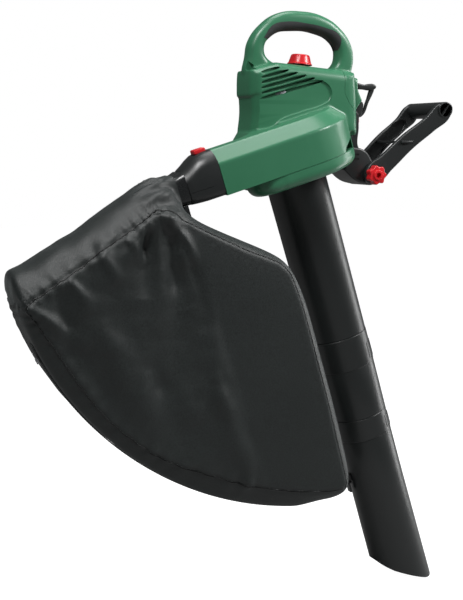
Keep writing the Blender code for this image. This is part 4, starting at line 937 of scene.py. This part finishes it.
# The folds run from the neck and from the corners, where the cloth is drawn in. A fold is a path in X and Z,
# a half width and a height, and it swells the near panel outwards or, with a negative height, inwards.
folds = [
    ([(-0.290, -0.300), (-0.243, -0.332), (-0.215, -0.378), (-0.195, -0.421), (-0.162, -0.477),
      (-0.135, -0.540)],
     0.013, 0.0080),
    ([(-0.262, -0.330), (-0.236, -0.378), (-0.214, -0.430), (-0.186, -0.486)], 0.012, -0.0060),
    ([(-0.227, -0.333), (-0.187, -0.372), (-0.142, -0.424), (-0.105, -0.490)], 0.014, 0.0050),
    ([(-0.240, -0.322), (-0.190, -0.346), (-0.140, -0.372), (-0.090, -0.392)], 0.007, 0.0040),
    ([(-0.190, -0.352), (-0.150, -0.392), (-0.115, -0.440)], 0.010, -0.0040),
    ([(-0.291, -0.308), (-0.291, -0.364), (-0.284, -0.432), (-0.288, -0.493)], 0.014, 0.0040),
    ([(-0.268, -0.330), (-0.262, -0.390), (-0.250, -0.450)], 0.011, -0.0036),
    ([(-0.300, -0.306), (-0.322, -0.340), (-0.353, -0.380), (-0.372, -0.420)], 0.012, 0.0036),
    ([(-0.310, -0.320), (-0.312, -0.370), (-0.318, -0.430)], 0.011, -0.0034),
    ([(-0.383, -0.360), (-0.366, -0.384), (-0.356, -0.404)], 0.007, 0.0036),
    ([(-0.345, -0.336), (-0.326, -0.356), (-0.312, -0.382)], 0.006, 0.0030),
    ([(-0.430, -0.394), (-0.408, -0.424), (-0.398, -0.450)], 0.008, 0.0030),
    ([(-0.485, -0.436), (-0.440, -0.470), (-0.400, -0.500)], 0.010, 0.0030),
    ([(-0.089, -0.755), (-0.084, -0.706), (-0.096, -0.650)], 0.010, 0.0040),
    ([(-0.054, -0.757), (-0.034, -0.703), (-0.018, -0.640)], 0.010, 0.0036),
    ([(-0.070, -0.757), (-0.062, -0.700), (-0.058, -0.650)], 0.009, -0.0040),
    ([(0.018, -0.750), (-0.010, -0.700), (-0.030, -0.640)], 0.009, -0.0034),
    ([(-0.112, -0.386), (-0.075, -0.451), (-0.052, -0.524), (-0.040, -0.589)], 0.010, -0.0036),
    ([(-0.095, -0.470), (-0.070, -0.560), (-0.055, -0.640)], 0.016, 0.0036),
    ([(-0.200, -0.560), (-0.170, -0.640), (-0.150, -0.715)], 0.020, 0.0030),
    ([(-0.300, -0.540), (-0.270, -0.620), (-0.240, -0.690)], 0.022, -0.0026),
    ([(-0.380, -0.470), (-0.330, -0.560), (-0.290, -0.640)], 0.024, 0.0026),
    ([(-0.274, -0.305), (-0.248, -0.343), (-0.219, -0.382), (-0.195, -0.429), (-0.175, -0.484),
      (-0.162, -0.560)],
     0.022, 0.0050),
    ([(-0.219, -0.332), (-0.192, -0.379), (-0.165, -0.438), (-0.145, -0.502), (-0.125, -0.590)], 0.013,
     -0.0040),
    ([(-0.187, -0.323), (-0.154, -0.369), (-0.132, -0.424), (-0.103, -0.500)], 0.018, 0.0036),
    ([(-0.290, -0.320), (-0.283, -0.387), (-0.268, -0.479), (-0.252, -0.600)], 0.024, -0.0036),
    ([(-0.367, -0.347), (-0.391, -0.412), (-0.400, -0.510)], 0.024, 0.0030),
    ([(-0.086, -0.383), (-0.065, -0.459), (-0.051, -0.540), (-0.027, -0.640)], 0.009, -0.0036),
    ([(-0.010, -0.740), (-0.037, -0.654), (-0.059, -0.571), (-0.070, -0.500)], 0.014, 0.0034),
    ([(-0.084, -0.752), (-0.076, -0.707), (-0.050, -0.640)], 0.012, -0.0036),
    ([(-0.150, -0.745), (-0.140, -0.700), (-0.120, -0.640)], 0.014, 0.0030),
    ([(-0.443, -0.425), (-0.423, -0.499), (-0.371, -0.578), (-0.300, -0.660)], 0.018, -0.0022),
]
FOLD_GAIN = 3.2
seam_line = [(row[0], row[1]) for row in rows]


def along_path(spots, points):
    """How far each spot is from a path, and where along it the nearest point lies, from 0 to 1."""
    best, share = np.full(len(spots), 1e9), np.zeros(len(spots))
    for number, (a, b) in enumerate(zip(points, points[1:])):
        a, step = np.array(a), np.array(b) - np.array(a)
        t = np.clip((spots - a) @ step / (step @ step), 0.0, 1.0)
        away = np.linalg.norm(spots - a - t[:, None] * step, axis=1)
        nearer = away < best
        best[nearer] = away[nearer]
        share[nearer] = (number + t[nearer]) / (len(points) - 1)
    return best, share


def eased(values, start, end):
    """0 before start, 1 after end, and smooth between."""
    t = np.clip((values - start) / (end - start), 0.0, 1.0)
    return t * t * (3 - 2 * t)


def lumps(points, scale):
    return np.array([noise.noise(Vector(point) * scale) for point in points])


count = len(bag.data.vertices)
flat_points = np.empty(count * 3)
bag.data.vertices.foreach_get("co", flat_points)
points = flat_points.reshape(-1, 3)
flat_normals = np.empty(count * 3)
bag.data.vertices.foreach_get("normal", flat_normals)
normals = flat_normals.reshape(-1, 3)
on_side = points[:, [0, 2]]
push = np.zeros(count)
for path_points, half_width, height in folds:
    away, share = along_path(on_side, path_points)
    width = half_width * (0.55 + 1.1 * share)
    push += (FOLD_GAIN * height * np.exp(-(away / width) ** 2) * (1 - share) ** 0.6
             * np.minimum(1.0, 0.35 + 4 * share))
MOST_PUSH = 0.0115
push = np.where(push > 0.0, MOST_PUSH * np.tanh(push / MOST_PUSH), push)
near_panel = 1.0 - eased(points[:, 1], NEAR_Y + 0.004, NEAR_Y + 0.016)
seam_away, seam_share = along_path(on_side, seam_line + seam_line[:1])
pucker = np.sin(seam_share * 2 * math.pi * 64 + 3 * lumps(points, 9.0)) * np.exp(-(seam_away / 0.013) ** 2)
in_seam = np.exp(-((seam_away / 0.0032) ** 2)) * np.exp(-(((points[:, 1] - NEAR_Y) / 0.008) ** 2))
to_fan = np.array(FAN.inverted())
in_fan = points @ to_fan[:3, :3].T + to_fan[:3, 3]
round_neck = np.arctan2(in_fan[:, 2] - 0.015, in_fan[:, 1] - AXIS_Y)
past_cuff = CUFF_X - in_fan[:, 0]
gather = np.sin(round_neck * 13.0 + 2.0 * lumps(points, 20.0)) * eased(past_cuff, 0.004, 0.026)
gather *= 1.0 - eased(past_cuff, 0.030, 0.085)
billow = lumps(points * (1, 0.6, 1), 16.0) * 0.0030 + lumps(points, 41.0) * 0.0012
billow *= eased(past_cuff, 0.0, 0.030)
points[:, 1] -= near_panel * push * eased(past_cuff, 0.010, 0.040)
GATHER_HEIGHT, PUCKER_HEIGHT, SEAM_DEPTH = 0.0030, 0.0013, 0.0026
away_from_cloth = (billow + GATHER_HEIGHT * gather + PUCKER_HEIGHT * pucker * eased(past_cuff, 0.02, 0.05)
                   - SEAM_DEPTH * in_seam)
points += normals * away_from_cloth[:, None]

# The zip's strip of the gusset is held to the arc that the slider runs along.
CURVE_CENTRE, CURVE_RADIUS, ZIP_Y = np.array((-0.005, -0.264)), 0.5250, -0.1000
out = points[:, [0, 2]] - CURVE_CENTRE
radius = np.linalg.norm(out, axis=1)
turn = np.degrees(np.arctan2(out[:, 1], out[:, 0])) % 360.0
hold = eased(points[:, 1], -0.140, -0.113) * (1.0 - eased(points[:, 1], -0.084, -0.024))
hold *= eased(turn, 198.0, 205.0) * (1.0 - eased(turn, 264.0, 271.0)) * eased(radius, 0.46, 0.49)
share = (1 - hold + hold * CURVE_RADIUS / radius)[:, None]
points[:, [0, 2]] = CURVE_CENTRE + out * share
bag.data.vertices.foreach_set("co", points.ravel())

# The cloth ends in an open cuff round the clamp ring, and is a millimetre thick.
shape = bmesh.new()
shape.from_mesh(bag.data)
from_world = FAN.inverted()
neck_faces = [face for face in shape.faces if (from_world @ face.calc_center_median()).z > -0.0150]
neck_parts = {part for face in neck_faces for part in (face, *face.edges, *face.verts)}
bmesh.ops.bisect_plane(shape, geom=sorted(neck_parts, key=lambda part: (type(part).__name__, part.index)),
                       plane_co=FAN @ Vector((CUFF_X, 0, 0)), plane_no=FAN.to_3x3() @ Vector((1, 0, 0)))
spare = []
for face in shape.faces:
    middle = from_world @ face.calc_center_median()
    if middle.x > CUFF_X + 0.00002 and middle.z > -0.0150:
        spare.append(face)
bmesh.ops.delete(shape, geom=spare, context="FACES")
bmesh.ops.recalc_face_normals(shape, faces=shape.faces)
bag_skin = BVHTree.FromBMesh(shape)
shape.to_mesh(bag.data)
shape.free()
wall = bag.modifiers.new("cloth", "SOLIDIFY")
wall.thickness, wall.offset = 0.0011, -1.0
settled(bag)
piece("leaf_bag", bag, CLOTH, nodes=["bag"], crease=60.0)

# Along the near seam runs a thin strand, coloured darker than the cloth as painted shade for the seam's
# groove, with a row of stitches beside it. The zip is a woven tape with a coil down its middle, sewn on along
# both edges, and a metal slider with a pull tab.


def on_bag(x, y, z, lift):
    """The bag's surface nearest a point, raised by lift, and the surface's normal."""
    spot, normal, _, _ = bag_skin.find_nearest(Vector((x, y, z)))
    return spot + normal * lift, normal


def tube(path_points, radius, closed=False, sides=3):
    """A round strand along a path."""
    curve = bpy.data.curves.new("strand", "CURVE")
    curve.dimensions = "3D"
    curve.bevel_depth, curve.bevel_resolution, curve.use_fill_caps = radius, sides, True
    spline = curve.splines.new("POLY")
    spline.points.add(len(path_points) - 1)
    spline.use_cyclic_u = closed
    for knot, point in zip(spline.points, path_points):
        knot.co = (*point, 1.0)
    guide = bpy.data.objects.new("strand", curve)
    scene.collection.objects.link(guide)
    mesh = bpy.data.meshes.new_from_object(guide.evaluated_get(bpy.context.evaluated_depsgraph_get()))
    bpy.data.objects.remove(guide)
    shape = bmesh.new()
    shape.from_mesh(mesh)
    bmesh.ops.remove_doubles(shape, verts=shape.verts, dist=0.000001)
    bmesh.ops.recalc_face_normals(shape, faces=shape.faces)
    return thing(shape)


def smooth_line(knots, per, closed=False):
    """Points on a smooth curve through the knots."""
    knots = [Vector(knot) for knot in knots]
    total = len(knots)
    found = []
    for i in range(total if closed else total - 1):
        a, b, c, d = (knots[j % total] if closed else knots[max(0, min(total - 1, j))]
                      for j in (i - 1, i, i + 1, i + 2))
        for j in range(per):
            t = j / per
            found.append(0.5 * (2 * b + (c - a) * t + (2 * a - 5 * b + 4 * c - d) * t * t
                                + (3 * b - a - 3 * c + d) * t ** 3))
    return found if closed else found + [knots[-1]]


def stitches(shape, spots, length, lift, pitch):
    """Lays small flat stitches on the bag along a line of spots."""
    left = 0.0
    for a, b in zip(spots, spots[1:]):
        left += (b - a).length
        if left < pitch:
            continue
        left = 0.0
        spot, normal = on_bag(*a, lift)
        along = (b - a).normalized()
        side = normal.cross(along).normalized()
        seat = Matrix((along, side, along.cross(side))).transposed().to_4x4()
        seat.translation = spot
        made = bmesh.ops.create_cube(shape, size=1.0)["verts"]
        bmesh.ops.scale(shape, vec=(length, 0.0007, 0.0006), verts=made)
        bmesh.ops.transform(shape, matrix=seat, verts=made)


THREAD = moulded("dark_thread", (0.030, 0.034, 0.034), 0.50, 2000.0)
seam_path = smooth_line([(x, NEAR_Y - 0.001, z) for x, z in seam_line], 12, True)
inner_path = [Vector((hub.x, spot.y, hub.y)).lerp(spot, 0.985) for spot in seam_path]
sewing = bmesh.new()
stitches(sewing, inner_path + inner_path[:1], 0.0028, 0.0002, 0.0042)
around = []
for degrees in np.linspace(206.0, 262.0, 900):
    angle = math.radians(degrees)
    around.append((CURVE_CENTRE[0] + CURVE_RADIUS * math.cos(angle),
                   CURVE_CENTRE[1] + CURVE_RADIUS * math.sin(angle)))
for y in (ZIP_Y - 0.0095, ZIP_Y + 0.0095):
    stitches(sewing, [Vector((x, y, z)) for x, z in around], 0.0028, 0.0011, 0.0040)
bag_stitches = piece("bag_stitches", thing(sewing), THREAD)
seam_spots = [on_bag(*spot, 0.0002)[0] for spot in seam_path]
# The strand's colour is darker than the cloth: painted shade for the groove along the near seam.
SEAM_SHADE = moulded("seam_groove_painted_shade", (0.0035, 0.0045, 0.0045), 0.55)
bag_seam_shade_strand = piece("bag_seam_shade_line", tube(seam_spots, 0.0009, True), SEAM_SHADE)

tape = []
for offset in (0.0002, 0.0010):
    strip = arc(CURVE_CENTRE, CURVE_RADIUS + offset, 206.0, 262.0, 90)
    tape += [(x, z, 0) for x, z in (strip if not tape else reversed(strip))]
zip_strip = piece("bag_zip_tape", plate([tape], ZIP_Y - 0.011, ZIP_Y + 0.011, steps=1), CLOTH,
                  nodes=["zip_tape"])
coil = bmesh.new()
for number, degrees in enumerate(np.arange(206.4, 261.8, 0.24)):
    angle = math.radians(degrees)
    seat = (Matrix.Translation((CURVE_CENTRE[0] + (CURVE_RADIUS + 0.0015) * math.cos(angle),
                                ZIP_Y + (0.0009 if number % 2 else -0.0009),
                                CURVE_CENTRE[1] + (CURVE_RADIUS + 0.0015) * math.sin(angle)))
            @ Matrix.Rotation(-angle, 4, "Y"))
    made = bmesh.ops.create_cube(coil, size=1.0)["verts"]
    bmesh.ops.scale(coil, vec=(0.0012, 0.0030, 0.0014), verts=made)
    bmesh.ops.transform(coil, matrix=seat, verts=made)
zip_teeth = piece("bag_zip_teeth", thing(coil), moulded("coil_nylon", (0.055, 0.062, 0.062), 0.32))

# The slider rides the coil: its upper plate, a bridge and a hanging pull tab.
SLIDER_TURN = math.radians(209.0)
SLIDER = (Matrix.Translation((CURVE_CENTRE[0] + (CURVE_RADIUS + 0.0031) * math.cos(SLIDER_TURN), ZIP_Y,
                              CURVE_CENTRE[1] + (CURVE_RADIUS + 0.0031) * math.sin(SLIDER_TURN)))
          @ Matrix.Rotation(-SLIDER_TURN, 4, "Y"))
slider = plate([[(0.0, -0.0052, 0), (0.0, 0.0040), (0.0, 0.0056, 0), (0.0014, 0.0056, 0),
                 (0.0014, -0.0052, 0)]],
               -0.0044, 0.0044, 0.0, seat=SLIDER, steps=4)
fuse(slider, block((0.0006, -0.0012, -0.0040), (0.0040, 0.0012, -0.0024), 0.0003, SLIDER),
     block((0.0026, -0.0012, -0.0040), (0.0038, 0.0012, 0.0044), 0.0003, SLIDER),
     block((0.0006, -0.0012, 0.0026), (0.0036, 0.0012, 0.0042), 0.0003, SLIDER),
     block((0.0017, -0.0024, -0.0150), (0.0025, 0.0024, 0.0010), 0.0003, SLIDER))
piece("zip_slider_body", slider, STEEL, "zip_slider", ["zip_slider"])

# An elastic loop is sewn to the bag's lower corner and passes round the tube hook's prong.
strand = smooth_line([(0.0380, -0.0760, -0.7660), (0.0620, -0.0500, -0.7800), (0.0900, -0.0190, -0.7905),
                      (0.1040, -0.0090, -0.7935), (0.1087, -0.0050, -0.7925), (0.1087, 0.0050, -0.7925),
                      (0.1040, 0.0090, -0.7935), (0.0900, 0.0040, -0.7885), (0.0620, -0.0320, -0.7760),
                      (0.0380, -0.0640, -0.7620)], 10)
bag_elastic = piece("bag_elastic_loop", tube(strand, 0.0015), RUBBER)
